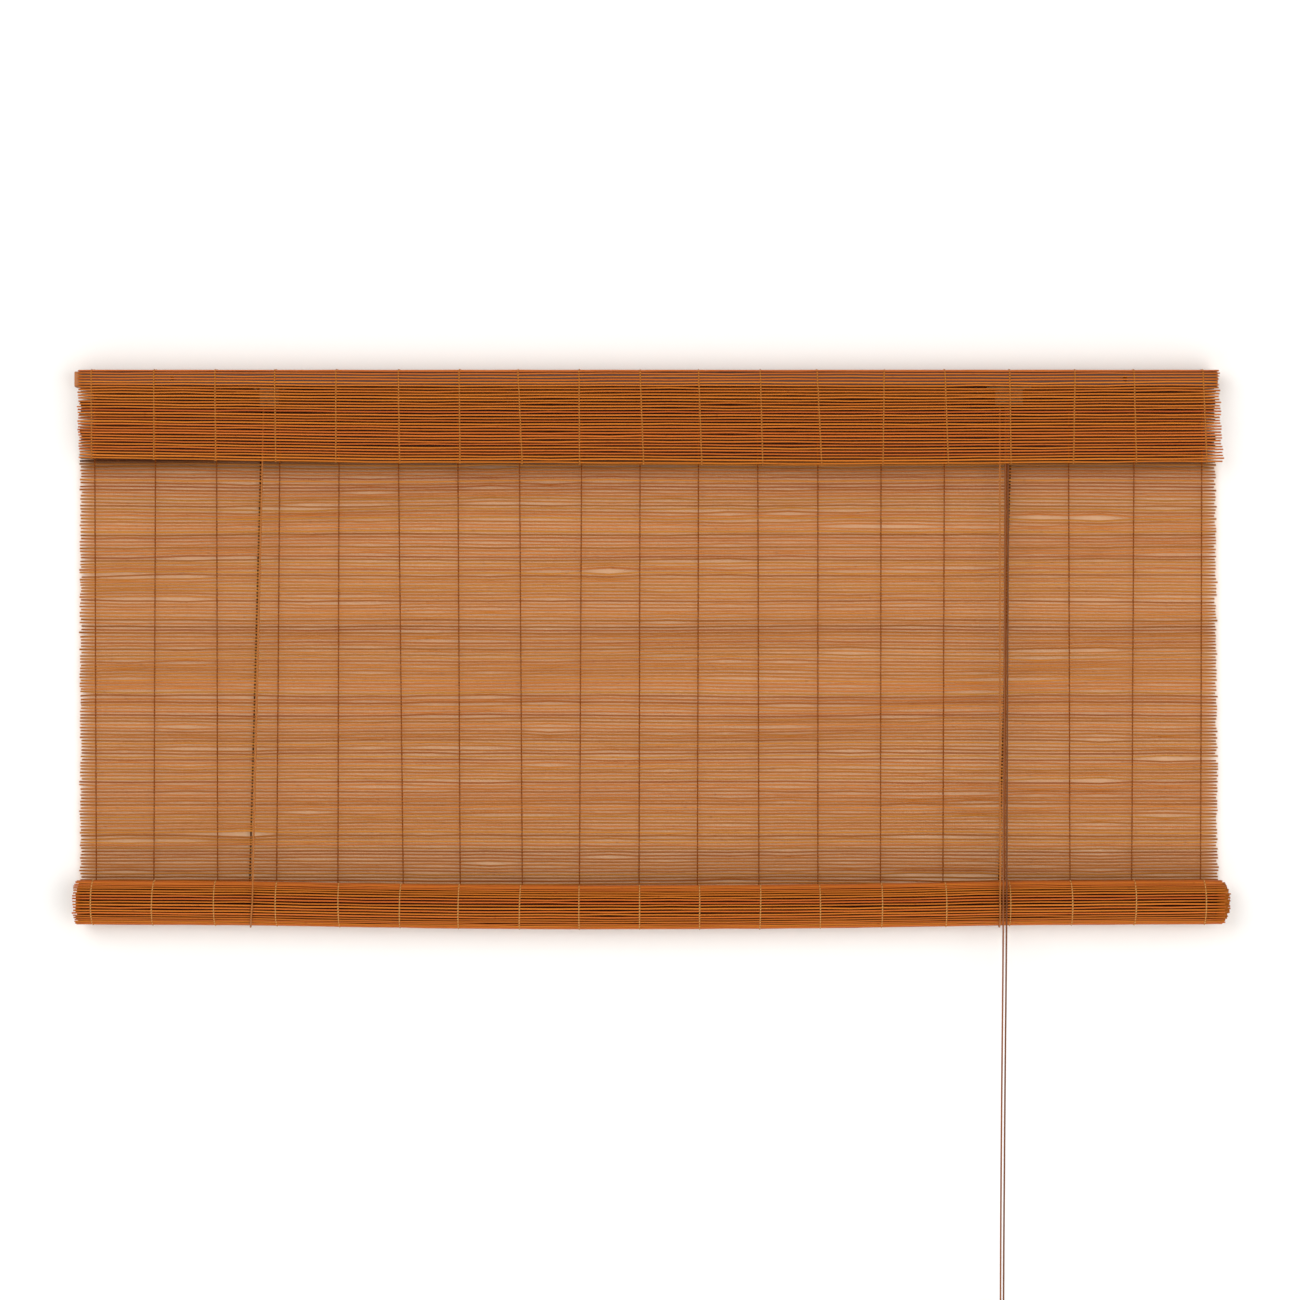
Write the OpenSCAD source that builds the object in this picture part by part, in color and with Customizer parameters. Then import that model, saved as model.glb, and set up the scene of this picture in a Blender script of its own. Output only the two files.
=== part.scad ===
// Woven matchstick roll-up blind, hung from a wooden headrail by two looped lift cords.
// X runs along the headrail, -Y faces the room, +Z is up.
// The origin is midway between the two screw holes, on the back face of the headrail.

/* [Headrail] */
// Length of the wooden headrail
rail_length = 1200; // [900:5:1500]
// Depth of the headrail, from the wall side to the room side
rail_depth = 28; // [25:0.5:36]
// Height of the headrail
rail_height = 16; // [12:0.5:24]
// Radius of the headrail's long edges
rail_edge_r = 3; // [2:0.25:4]
// How far the headrail stands out to the left of the fabric's middle
rail_shift = 2.5; // [0:0.5:6]
// Diameter of the screw holes through the headrail
wall_hole_d = 5; // [3.5:0.25:7]
// Distance between the two screw holes
wall_hole_spacing = 1000; // [800:10:1100]

/* [Woven fabric] */
// Length of each stick, which is the width of the fabric
fabric_width = 1200; // [900:5:1500]
// Height of a stick's section
stick_width = 1.9; // [1.5:0.05:2.3]
// Thickness of a stick
stick_thickness = 1.5; // [1:0.1:2.5]
// Distance from stick to stick in the hanging shade
shade_pitch = 3.35; // [3.2:0.05:4.5]
// Distance from stick to stick in the valance
valance_pitch = 3.1; // [3:0.05:4]
// Number of thread lines that bind the sticks
thread_lines = 19; // [9:1:21]
// Distance between thread lines
thread_spacing = 64.8; // [45:0.1:66]
// Thickness of the thread on each side of the sticks
thread_thickness = 0.35; // [0.2:0.05:0.6]
// Width of a thread line
thread_width = 0.9; // [0.6:0.1:2]
// Height of the shade's top edge above the middle of the headrail
shade_top = 6; // [4:0.5:7]
// How far the valance hangs below the middle of the headrail
valance_drop = 90; // [60:1:130]
// Distance of the valance's rear edge from the back of the headrail
valance_setback = 7; // [5:0.5:10]

/* [Roll] */
// Outer diameter of the rolled part of the shade
roll_d = 48.4; // [36:0.2:60]
// Depth of the grooves between the sticks of the roll's outer turn
rib_depth = 0.8; // [0.4:0.1:1.2]
// Distance from the middle of the headrail down to the roll's axis
roll_drop = 550; // [300:5:1500]
// How far the inner turns stand out of the right end of the roll
roll_telescope = 5.5; // [0:0.5:10]
// Diameter of the wooden rod in the core of the roll
rod_d = 14; // [10:0.5:20]

/* [Cords and fittings] */
// Diameter of every cord
cord_d = 1.8; // [1.4:0.1:2.2]
// Radius from the left pulley's axis to the middle of the cord on it
pulley_cord_r = 6; // [5:0.25:8]
// Radius from the lock wheel's axis to the middle of the cords on it
lock_cord_r = 4.2; // [3.8:0.1:5]
// Diameter of the pins that carry the wheels and the pawl
pin_d = 2.5; // [1.5:0.1:3]
// Thickness of the sheet steel of the pulley case and the lock case
sheet_t = 1; // [0.6:0.1:1.5]
// Diameter of the case screws' shanks
screw_d = 3; // [2:0.25:4]
// Length of the case screws' shanks
screw_length = 11; // [8:0.5:13]
// Thickness of the staple wire
staple_wire = 0.6; // [0.4:0.05:0.7]
// Depth of the staple legs in the headrail
staple_bite = 5; // [3:0.5:8]
// Length of the wooden tassel on each pull cord
tassel_length = 32; // [20:1:50]
// Largest diameter of a tassel
tassel_d = 13; // [8:0.5:16]

/* [Hidden] */
$fn = 48;

// Finishes
stained_wood = [0.42, 0.22, 0.10];
front_bamboo = [0.71, 0.40, 0.15];
shade_bamboo = [0.74, 0.50, 0.32];
thread_tan = [0.62, 0.42, 0.22];
zinc = [0.72, 0.72, 0.70];
bronzed = [0.24, 0.18, 0.12];
nylon = [0.20, 0.15, 0.11];
cord_brown = [0.50, 0.36, 0.27];

// Clearances
running_gap = 0.05;   // radial, wheel or pawl on its pin
pin_seat_gap = 0.02;  // radial, pin in its case
soft_gap = 0.3;       // cords and fabric beside moving surfaces
wood_gap = 0.1;       // rod in the core of the roll
stick_hole_r = 4;     // clearance in the shade round each wall screw

// The fabric's layers, counted from the face that lies on the headrail
fabric_t = stick_thickness + 2 * thread_thickness;
first_thread_x = -1.5 - (thread_lines - 1) * thread_spacing / 2;
thread_xs = [for (i = [0 : thread_lines - 1]) first_thread_x + i * thread_spacing];
staple_xs = [for (i = [0 : thread_lines - 2]) thread_xs[i] + thread_spacing / 2];

// The roll touches the hanging shade along its back
roll_r = roll_d / 2;
roll_y = fabric_t - roll_r;
roll_z = -roll_drop;
rib_count = round(2 * PI * roll_r / valance_pitch);
shade_bottom = roll_z + sqrt(pow(roll_r, 2) - pow(roll_r - fabric_t, 2)) + soft_gap;
shade_count = floor((shade_top - shade_bottom - stick_width) / shade_pitch) + 1;

// Cords
cord_r = cord_d / 2;
bight_r = roll_r + soft_gap + cord_r;
rear_y = fabric_t + soft_gap + cord_r;
left_rear_top_x = -407.8;
left_rear_low_x = -421.9;
left_front_top_x = -404.5;
left_front_low_x = -414;
right_rear_top_x = 384.6;
right_rear_low_x = 369.7;
right_front_top_x = 369.3;
right_front_low_x = 367.5;

// Pulley and lock, both hung under the headrail behind the valance
rail_low = -rail_height / 2;
cord_level = rail_low - 4.5;
fittings_y = -19;
groove_gap = 0.2;
wheel_flange = 1;
pulley_lane_r = cord_r + 0.9;
lock_lane_r = cord_r + 0.4;
pulley_x = left_front_top_x + pulley_cord_r;
pulley_z = cord_level - pulley_cord_r;
pulley_wheel_w = 4.4;
pulley_case_w = 9;
pulley_case_l = 20;
lock_x = right_front_top_x + lock_cord_r;
lock_z = cord_level - lock_cord_r;
lock_lane = 1.5;
lock_case_w = 12;
lock_case_left = lock_x - 9;
lock_case_right = lock_x + 19.5;
pawl_x = lock_x + 12.5;
pawl_z = lock_z - 2.3;
pawl_hub_r = 3;
cheek_drop = 10;
flange_l = 9;
screw_head_d = 5.6;
screw_head_h = 1.6;

// The two falls in front meet the roll where their slanting line touches its loop
function front_touch(top_y, top_z) =
    let (dy = top_y - roll_y, dz = top_z - roll_z, d = norm([dy, dz]),
         a = atan2(dz, dy) + acos(bight_r / d))
    [roll_y + bight_r * cos(a), roll_z + bight_r * sin(a), a];
left_touch = front_touch(fittings_y, pulley_z);
right_touch = front_touch(fittings_y - lock_lane, lock_z);

// Pull cords: down from the lock to the front of the roll, then free
left_pull_run_points = [
    [375.4, -18.8, -33], [374.3, -27, -180], [372.8, -36, -340], [370.8, -47.4, -549]
];
right_pull_run_points = [
    [378.2, -19.6, -33], [377.4, -27, -180], [376, -36, -340], [374.3, -47.4, -549]
];
left_pull_points = [
    [370.8, -47.4, -549], [370.6, -47.4, -590], [370.2, -47.4, -640], [369.6, -47.4, -700],
    [369, -47.4, -765], [368.5, -47.4, -830], [368.1, -47.4, -895], [367.9, -47.4, -950],
    [367.9, -47.8, -968], [368.1, -48.6, -977], [369.3, -49, -982.6], [372.4, -49.1, -985.6],
    [376, -49.1, -987.4]
];
right_pull_points = [
    [374.3, -47.4, -549], [374, -47.4, -590], [373.6, -47.4, -640], [373, -47.4, -700],
    [372.4, -47.4, -765], [371.9, -47.4, -830], [371.4, -47.4, -895], [371.1, -47.4, -950],
    [371, -47, -968], [370.8, -46.2, -977], [369.6, -45.8, -982.6], [366.5, -45.7, -985.6],
    [362.9, -45.7, -987.4]
];
coil_z = -1000;
left_coil_at = [368.1, -53.6, coil_z];
right_coil_at = [370.8, -41.2, coil_z];
coil_inner_r = 5.7;
coil_layers = 5;
coil_columns = 6;
coil_outer_r = coil_inner_r + (coil_layers - 1) * cord_d;
tassel_top = coil_z - 32;
tassel_bore_r = cord_r + soft_gap;
knot_r = 2.2;
left_tail_points = [
    [382.9, -58.1, -1000.6], [382.7, -57.6, -1009], [380.8, -56.4, -1018], [378.6, -55.6, -1025],
    [377.8, -55.4, -1031], [377.8, -55.4, -1044], [377.8, -55.4, -1057]
];
right_tail_points = [
    [356, -36.7, -1000.6], [356.2, -37.2, -1009], [358.1, -38.4, -1018], [360.3, -39.2, -1025],
    [361.1, -39.4, -1031], [361.1, -39.4, -1044], [361.1, -39.4, -1057]
];

// ---------- helpers ----------

function unit(v) = v / norm(v);
function arc(centre, r, from, to, steps) =
    [for (i = [0 : steps]) let (a = from + (to - from) * i / steps) centre + r * [cos(a), sin(a)]];
function backwards(list) = [for (i = [len(list) - 1 : -1 : 0]) list[i]];

// Extrudes an outline drawn in (Y, Z) along X, centred on x
module along_x(x, length) {
    translate([x - length / 2, 0, 0])
        rotate([90, 0, 90]) linear_extrude(height = length) children();
}

// Stands a shape drawn round the Z axis along Y, centred on the place
module along_y(place) {
    translate(place) rotate([90, 0, 0]) children();
}

// A box from its two corners
module block(low, high) {
    translate(low) cube(high - low);
}

// A cord swept along points; side is a direction that the cord never takes
module cord_tube(points, side, start_dir = undef, end_dir = undef) {
    sides = 8;
    last = len(points) - 1;
    function dir(i) =
        i == 0 && !is_undef(start_dir) ? unit(start_dir)
        : i == last && !is_undef(end_dir) ? unit(end_dir)
        : unit(points[min(i + 1, last)] - points[max(i - 1, 0)]);
    rings = [for (i = [0 : last]) let (t = dir(i), u = unit(cross(side, t)), v = cross(t, u))
        for (k = [0 : sides - 1]) let (a = 360 * (k + 0.5) / sides)
            points[i] + cord_r * (cos(a) * u + sin(a) * v)];
    walls = [for (i = [0 : last - 1], k = [0 : sides - 1]) let (n = (k + 1) % sides)
        [i * sides + k, (i + 1) * sides + k, (i + 1) * sides + n, i * sides + n]];
    start_cap = [for (k = [0 : sides - 1]) k];
    end_cap = [for (k = [sides - 1 : -1 : 0]) last * sides + k];
    polyhedron(points = rings, faces = concat([start_cap], walls, [end_cap]));
}

// ---------- headrail ----------

rail_outline = concat(
    arc([-rail_edge_r, rail_height / 2 - rail_edge_r], rail_edge_r, 0, 90, 6),
    arc([rail_edge_r - rail_depth, rail_height / 2 - rail_edge_r], rail_edge_r, 90, 180, 6),
    arc([rail_edge_r - rail_depth, rail_edge_r - rail_height / 2], rail_edge_r, 180, 270, 6),
    arc([-rail_edge_r, rail_edge_r - rail_height / 2], rail_edge_r, 270, 360, 6)
);

module wall_holes(r, y_from, y_to) {
    for (x = [-wall_hole_spacing / 2, wall_hole_spacing / 2])
        translate([x, y_from, 0]) rotate([90, 0, 0]) cylinder(r = r, h = y_from - y_to);
}

module screw_pilots() {
    for (place = concat(pulley_screw_places, lock_screw_places))
        translate([place[0], place[1], rail_low - 1])
            cylinder(r = screw_d / 2 + pin_seat_gap, h = screw_length - sheet_t + 1.5);
}

module headrail() {
    color(stained_wood) difference() {
        along_x(-rail_shift, rail_length) polygon(rail_outline);
        wall_holes(wall_hole_d / 2, 1, -rail_depth - 1);
        screw_pilots();
        shade_staple_legs();
        valance_staple_legs();
        cord_staple_legs();
    }
}

// ---------- hanging shade ----------

function shade_stick_z(i) = shade_top - stick_width / 2 - i * shade_pitch;
shade_low = shade_stick_z(shade_count - 1) - stick_width / 2;

module shade_sticks() {
    color(shade_bamboo) difference() {
        for (i = [0 : shade_count - 1])
            translate([-fabric_width / 2, thread_thickness, shade_stick_z(i) - stick_width / 2])
                cube([fabric_width, stick_thickness, stick_width]);
        wall_holes(stick_hole_r, fabric_t + 1, -1);
    }
}

module shade_threads() {
    color(thread_tan)
        for (x = thread_xs, y = [0, fabric_t - thread_thickness])
            block([x - thread_width / 2, y, shade_low],
                  [x + thread_width / 2, y + thread_thickness, shade_top]);
}

// Staples of the shade stand upright, with their legs between sticks
shade_staple_top = shade_stick_z(0) - shade_pitch / 2;
shade_staple_low = shade_staple_top - 2 * shade_pitch;
stick_back = thread_thickness + stick_thickness;

module shade_staple_legs() {
    for (x = staple_xs, z = [shade_staple_low, shade_staple_top])
        block([x - staple_wire / 2, -staple_bite, z - staple_wire / 2],
              [x + staple_wire / 2, stick_back, z + staple_wire / 2]);
}

module shade_staples() {
    color(zinc) {
        shade_staple_legs();
        for (x = staple_xs)
            block([x - staple_wire / 2, stick_back, shade_staple_low - staple_wire / 2],
                  [x + staple_wire / 2, stick_back + staple_wire, shade_staple_top + staple_wire / 2]);
    }
}

// ---------- valance ----------

// The fabric's path over the top of the headrail, round its front edge and down
corner = [rail_edge_r - rail_depth, rail_height / 2 - rail_edge_r];
stick_offset = thread_thickness + stick_thickness / 2;
corner_r = rail_edge_r + stick_offset;
top_run = -valance_setback - corner[0];
corner_run = corner_r * PI / 2;
front_run = corner[1] + valance_drop;
valance_count = floor((top_run + corner_run + front_run) / valance_pitch);

// [y, z, turn] of the middle of a stick, a run along the path from its rear edge
function valance_place(run) =
    run < top_run
        ? [-valance_setback - run, corner[1] + corner_r, 0]
    : run < top_run + corner_run
        ? let (a = 90 + (run - top_run) / corner_run * 90)
          [corner[0] + corner_r * cos(a), corner[1] + corner_r * sin(a), a - 90]
        : [corner[0] - corner_r, corner[1] - (run - top_run - corner_run), 90];

module valance_sticks() {
    color(front_bamboo)
        for (i = [0 : valance_count - 1]) let (p = valance_place((i + 0.5) * valance_pitch))
            translate([0, p[0], p[1]]) rotate([p[2], 0, 0])
                cube([fabric_width, stick_width, stick_thickness], center = true);
}

valance_end = valance_place((valance_count - 0.5) * valance_pitch)[1] - stick_width / 2;
corner_relief = 0.2;

// One line of the fabric's section at a distance from the headrail; its relief over the flat
// sticks at the corner runs out within a stick's width on either side
function wrap_line(offset, relief) = concat(
    [[-valance_setback, rail_height / 2 + offset], [corner[0] + stick_width, rail_height / 2 + offset]],
    arc(corner, rail_edge_r + offset + relief, 90, 180, 6),
    [[-rail_depth - offset, corner[1] - stick_width], [-rail_depth - offset, valance_end]]
);

module valance_threads() {
    color(thread_tan)
        for (x = thread_xs) {
            along_x(x, thread_width) polygon(concat(
                wrap_line(0, 0), backwards(wrap_line(thread_thickness, 0))));
            along_x(x, thread_width) polygon(concat(
                wrap_line(stick_back, corner_relief), backwards(wrap_line(fabric_t, corner_relief))));
        }
}

// Staples of the valance lie along Y on top of the headrail
valance_staple_back = -valance_setback - 2 * valance_pitch;
valance_staple_front = valance_staple_back - 2 * valance_pitch;

module valance_staple_legs() {
    for (x = staple_xs, y = [valance_staple_front, valance_staple_back])
        block([x - staple_wire / 2, y - staple_wire / 2, rail_height / 2 - staple_bite],
              [x + staple_wire / 2, y + staple_wire / 2, rail_height / 2 + stick_back]);
}

module valance_staples() {
    crown_z = rail_height / 2 + stick_back;
    color(zinc) {
        valance_staple_legs();
        for (x = staple_xs)
            block([x - staple_wire / 2, valance_staple_front - staple_wire / 2, crown_z],
                  [x + staple_wire / 2, valance_staple_back + staple_wire / 2, crown_z + staple_wire]);
    }
}

// ---------- roll ----------

// Ribbed outline of the outer turn: flat stick backs with grooves between them
rib_angle = 360 / rib_count;
rib_share = stick_width / valance_pitch;
roll_outline = [for (k = [0 : rib_count - 1], j = [0 : 3])
    let (low = j == 0 || j == 3,
         a = (k + (j < 2 ? 0.5 - rib_share / 2 : 0.5 + rib_share / 2)) * rib_angle)
    (low ? roll_r - rib_depth : roll_r) * [cos(a), sin(a)]];
roll_steps = 4;
step_r = (roll_r - rib_depth - rod_d / 2) / (roll_steps + 1);

module rolled_shade() {
    color(front_bamboo) translate([0, roll_y, roll_z]) difference() {
        union() {
            along_x(0, fabric_width) polygon(roll_outline);
            for (i = [1 : roll_steps])
                along_x(fabric_width / 2 + roll_telescope * i / roll_steps / 2,
                        roll_telescope * i / roll_steps)
                    circle(r = roll_r - rib_depth - i * step_r);
        }
        for (i = [1 : roll_steps])
            along_x(-fabric_width / 2 + roll_telescope * i / roll_steps / 2 - 1,
                    roll_telescope * i / roll_steps + 2)
                circle(r = roll_r - rib_depth - i * step_r);
        along_x(0, fabric_width + 4 * roll_telescope + 4) circle(d = rod_d);
    }
}

module bottom_rod() {
    color(stained_wood)
        along_x(roll_telescope / 2, fabric_width - 4)
            translate([roll_y, roll_z]) circle(r = rod_d / 2 - wood_gap);
}

// ---------- left pulley ----------

pulley_screw_places = [
    [pulley_x - pulley_case_l / 2 - flange_l / 2, fittings_y],
    [pulley_x + pulley_case_l / 2 + flange_l / 2, fittings_y]
];

// Sheet steel channel, open below and at its ends, with a flange for a screw at each end
module channel(left, right, width, low) {
    top = rail_low;
    difference() {
        union() {
            block([left, fittings_y - width / 2, low], [right, fittings_y + width / 2, top]);
            block([left - flange_l, fittings_y - width / 2, top - sheet_t],
                  [right + flange_l, fittings_y + width / 2, top]);
        }
        block([left - 1, fittings_y - width / 2 + sheet_t, low - 1],
              [right + 1, fittings_y + width / 2 - sheet_t, top - sheet_t]);
        for (x = [left - flange_l / 2, right + flange_l / 2])
            translate([x, fittings_y, top - sheet_t - 1]) cylinder(r = screw_d / 2 + soft_gap, h = sheet_t + 2);
    }
}

// Pan head screw driven upwards at a place on the rail's underside
module case_screw(place) {
    head_z = rail_low - sheet_t - screw_head_h;
    difference() {
        union() {
            translate([place[0], place[1], head_z]) cylinder(d = screw_head_d, h = screw_head_h);
            translate([place[0], place[1], head_z]) cylinder(d = screw_d, h = screw_head_h + screw_length);
        }
        for (turn = [0, 90])
            translate([place[0], place[1], head_z]) rotate(turn)
                cube([3, 0.6, 1.6], center = true);
    }
}

module pulley_case() {
    color(bronzed) difference() {
        channel(pulley_x - pulley_case_l / 2, pulley_x + pulley_case_l / 2, pulley_case_w,
                pulley_z - cheek_drop);
        along_y([pulley_x, fittings_y, pulley_z])
            cylinder(r = pin_d / 2 + pin_seat_gap, h = pulley_case_w + 2, center = true);
    }
}

// Half section of a grooved wheel of one or more lanes, turned round its axis
module grooved_wheel(width, rim_r, cord_ring_r, lanes, lane_r) {
    groove_r = cord_ring_r - cord_r - groove_gap;
    difference() {
        cylinder(r = rim_r, h = width, center = true);
        for (lane = lanes)
            translate([0, 0, lane]) rotate_extrude()
                translate([groove_r, 0]) polygon([
                    [0, -lane_r * 0.62], [0, lane_r * 0.62],
                    [rim_r - groove_r + 0.5, lane_r], [rim_r - groove_r + 0.5, -lane_r]
                ]);
        cylinder(r = pin_d / 2 + running_gap, h = width + 2, center = true);
    }
}

module pulley_wheel() {
    color(nylon) along_y([pulley_x, fittings_y, pulley_z])
        grooved_wheel(pulley_wheel_w, pulley_cord_r + wheel_flange, pulley_cord_r, [0], pulley_lane_r);
}

module pulley_pin() {
    color(bronzed) along_y([pulley_x, fittings_y, pulley_z])
        cylinder(d = pin_d, h = pulley_case_w + 1, center = true);
}

module pulley_screws() {
    color(bronzed) for (place = pulley_screw_places) case_screw(place);
}

// ---------- cord lock ----------

lock_screw_places = [
    [lock_case_left - flange_l / 2, fittings_y],
    [lock_case_right + flange_l / 2, fittings_y]
];

module lock_case() {
    color(bronzed) difference() {
        channel(lock_case_left, lock_case_right, lock_case_w, lock_z - cheek_drop);
        for (centre = [[lock_x, lock_z], [pawl_x, pawl_z]])
            along_y([centre[0], fittings_y, centre[1]])
                cylinder(r = pin_d / 2 + pin_seat_gap, h = lock_case_w + 2, center = true);
    }
}

module lock_wheel() {
    color(nylon) along_y([lock_x, fittings_y, lock_z])
        grooved_wheel(lock_case_w - 2 * sheet_t - 2 * soft_gap, lock_cord_r + wheel_flange - 0.3,
                      lock_cord_r, [-lock_lane, lock_lane], lock_lane_r);
}

module lock_wheel_pin() {
    color(bronzed) along_y([lock_x, fittings_y, lock_z])
        cylinder(d = pin_d, h = lock_case_w + 1, center = true);
}

// Cam that nips both cords against the wheel; its nose carries three small teeth
module lock_pawl() {
    nose = pawl_x - (lock_x + lock_cord_r + cord_r + 1);
    width = lock_case_w - 2 * sheet_t - 2 * soft_gap;
    color(nylon) along_y([pawl_x, fittings_y, pawl_z]) difference() {
        union() {
            cylinder(r = pawl_hub_r, h = width, center = true);
            linear_extrude(height = width, center = true) polygon([
                [0, pawl_hub_r], [-nose + 1.2, 2.2], [-nose + 0.4, 1.6], [-nose, 1.2],
                [-nose + 0.4, 0.8], [-nose, 0.4], [-nose + 0.4, 0], [-nose, -0.4],
                [-nose + 1.2, -1.2], [0, -pawl_hub_r]
            ]);
        }
        cylinder(r = pin_d / 2 + running_gap, h = width + 2, center = true);
    }
}

module lock_pawl_pin() {
    color(bronzed) along_y([pawl_x, fittings_y, pawl_z])
        cylinder(d = pin_d, h = lock_case_w + 1, center = true);
}

module lock_screws() {
    color(bronzed) for (place = lock_screw_places) case_screw(place);
}

// ---------- lift cords ----------

knot_z = 3;
cord_staple_z = shade_stick_z(1) - shade_pitch / 2;
cord_staple_span = cord_d + 2 * staple_wire + 0.4;

module cord_staple_legs() {
    for (x = [left_rear_top_x, right_rear_top_x], side = [-1, 1])
        translate([x + side * (cord_staple_span - staple_wire) / 2, 0, cord_staple_z])
            block([-staple_wire / 2, -staple_bite, -staple_wire / 2],
                  [staple_wire / 2, rear_y + cord_r + 0.1, staple_wire / 2]);
}

module cord_staples() {
    crown_y = rear_y + cord_r + 0.1;
    color(zinc) {
        cord_staple_legs();
        for (x = [left_rear_top_x, right_rear_top_x])
            block([x - cord_staple_span / 2, crown_y, cord_staple_z - staple_wire / 2],
                  [x + cord_staple_span / 2, crown_y + staple_wire, cord_staple_z + staple_wire / 2]);
    }
}

// Behind the shade, from a knot above its staple down to the back of the roll
module rear_fall(top_x, low_x) {
    color(cord_brown) {
        cord_tube([[top_x, rear_y, knot_z], [top_x, rear_y, rail_low], [low_x, rear_y, roll_z]],
                  [1, 0, 0], [0, 0, -1], [0, 0, -1]);
        translate([top_x, fabric_t + 0.1 + knot_r, knot_z + 1]) sphere(r = knot_r);
    }
}

// Under the roll, from its back to the point where the front fall leaves it
module bight(rear_x, front_x, touch, front_dir) {
    steps = 13;
    sweep = touch[2] - 360;
    points = [for (i = [0 : steps]) let (a = sweep * i / steps)
        [rear_x + (front_x - rear_x) * i / steps, roll_y + bight_r * cos(a), roll_z + bight_r * sin(a)]];
    color(cord_brown) cord_tube(points, [1, 0, 0], [0, 0, -1], front_dir);
}

left_front_dir = [left_front_top_x, fittings_y, pulley_z] - [left_front_low_x, left_touch[0], left_touch[1]];
right_front_dir = [right_front_top_x, fittings_y - lock_lane, lock_z]
    - [right_front_low_x, right_touch[0], right_touch[1]];

module front_fall(low, top, dir) {
    color(cord_brown) cord_tube([low, top - [0, 0, 8], top], [1, 0, 0], dir, [0, 0, 1]);
}

// Over the left pulley, along under the headrail and over the lock wheel
module left_traverse() {
    up_and_over = [for (i = [0 : 6]) let (a = 180 - 15 * i)
        [pulley_x + pulley_cord_r * cos(a), fittings_y, pulley_z + pulley_cord_r * sin(a)]];
    over_and_down = [for (i = [0 : 6]) let (a = 90 - 15 * i)
        [lock_x + lock_cord_r * cos(a), fittings_y + lock_lane, lock_z + lock_cord_r * sin(a)]];
    color(cord_brown) cord_tube(concat(up_and_over, over_and_down), [0, 1, 0], [0, 0, 1], [0, 0, -1]);
}

module right_turn() {
    points = [for (i = [0 : 10]) let (a = 180 - 18 * i)
        [lock_x + lock_cord_r * cos(a), fittings_y - lock_lane, lock_z + lock_cord_r * sin(a)]];
    color(cord_brown) cord_tube(points, [0, 1, 0], [0, 0, 1], [0, 0, -1]);
}

module pull_run(lane_y, points) {
    start = [lock_x + lock_cord_r, lane_y, lock_z];
    color(cord_brown) cord_tube(concat([start, start - [0, 0, 4]], points), [1, 0, 0], [0, 0, -1], [0, 0, -1]);
}

// ---------- pull cords ----------

module pull_cord(points, end_dir) {
    color(cord_brown) cord_tube(points, [0, 1, 0], [0, 0, -1], end_dir);
}

// Outer shape of the wound length, a round coil standing in the XZ plane
module pull_coil(at) {
    low_r = coil_inner_r - cord_r;
    high_r = coil_outer_r + cord_r;
    half_w = coil_columns * cord_d / 2;
    color(cord_brown) along_y(at) rotate_extrude() polygon([
        [low_r + 1, -half_w], [high_r - 1, -half_w], [high_r, 1 - half_w], [high_r, half_w - 1],
        [high_r - 1, half_w], [low_r + 1, half_w], [low_r, half_w - 1], [low_r, 1 - half_w]
    ]);
}

// Band round the coil's bundle, at one side of the ring
module coil_tie(at, side) {
    middle_r = (coil_inner_r + coil_outer_r) / 2;
    bundle = [coil_outer_r - coil_inner_r + cord_d, coil_columns * cord_d];
    wall = 1;
    color(thread_tan) translate(at + [side * middle_r, 0, 0]) difference() {
        cube([bundle[0] + 2 * soft_gap + 2 * wall + 1, bundle[1] + 2 * soft_gap + 2 * wall, 3], center = true);
        cube([bundle[0] + 2 * soft_gap + 1, bundle[1] + 2 * soft_gap, 4], center = true);
    }
}

module pull_tail(points) {
    color(cord_brown) {
        cord_tube(points, [0, 1, 0], undef, [0, 0, -1]);
        translate(points[len(points) - 1]) sphere(r = knot_r);
    }
}

// Turned acorn with a bore for the cord and a recess for its knot
module tassel(x, y) {
    neck = tassel_d * 0.28;
    belly = tassel_d / 2;
    recess = knot_r + 0.6;
    bottom = tassel_top - tassel_length;
    color(front_bamboo) translate([x, y, bottom]) difference() {
        rotate_extrude() polygon(concat(
            [[0, 0], [belly * 0.62, 0]],
            [for (i = [0 : 8]) let (a = -60 + 15 * i)
                [belly * cos(a), tassel_length * 0.27 + tassel_length * 0.25 * sin(a)]],
            [[neck, tassel_length * 0.68], [neck, tassel_length * 0.78],
             [neck + 1.2, tassel_length * 0.83], [neck + 1.2, tassel_length * 0.9],
             [neck, tassel_length], [0, tassel_length]]
        ));
        translate([0, 0, -1]) cylinder(r = tassel_bore_r, h = tassel_length + 2);
        translate([0, 0, -1]) cylinder(r = recess, h = tassel_length * 0.3 + 1);
    }
}

headrail();
valance_sticks();
valance_threads();
valance_staples();
shade_sticks();
shade_threads();
shade_staples();
rolled_shade();
bottom_rod();
pulley_case();
pulley_wheel();
pulley_pin();
pulley_screws();
lock_case();
lock_wheel();
lock_wheel_pin();
lock_pawl();
lock_pawl_pin();
lock_screws();
cord_staples();
rear_fall(left_rear_top_x, left_rear_low_x);  // left_rear_fall
rear_fall(right_rear_top_x, right_rear_low_x);  // right_rear_fall
bight(left_rear_low_x, left_front_low_x, left_touch, left_front_dir);  // left_bight
bight(right_rear_low_x, right_front_low_x, right_touch, right_front_dir);  // right_bight
front_fall([left_front_low_x, left_touch[0], left_touch[1]],  // left_front_fall
               [left_front_top_x, fittings_y, pulley_z], left_front_dir);
front_fall([right_front_low_x, right_touch[0], right_touch[1]],  // right_front_fall
               [right_front_top_x, fittings_y - lock_lane, lock_z], right_front_dir);
left_traverse();
right_turn();
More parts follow.
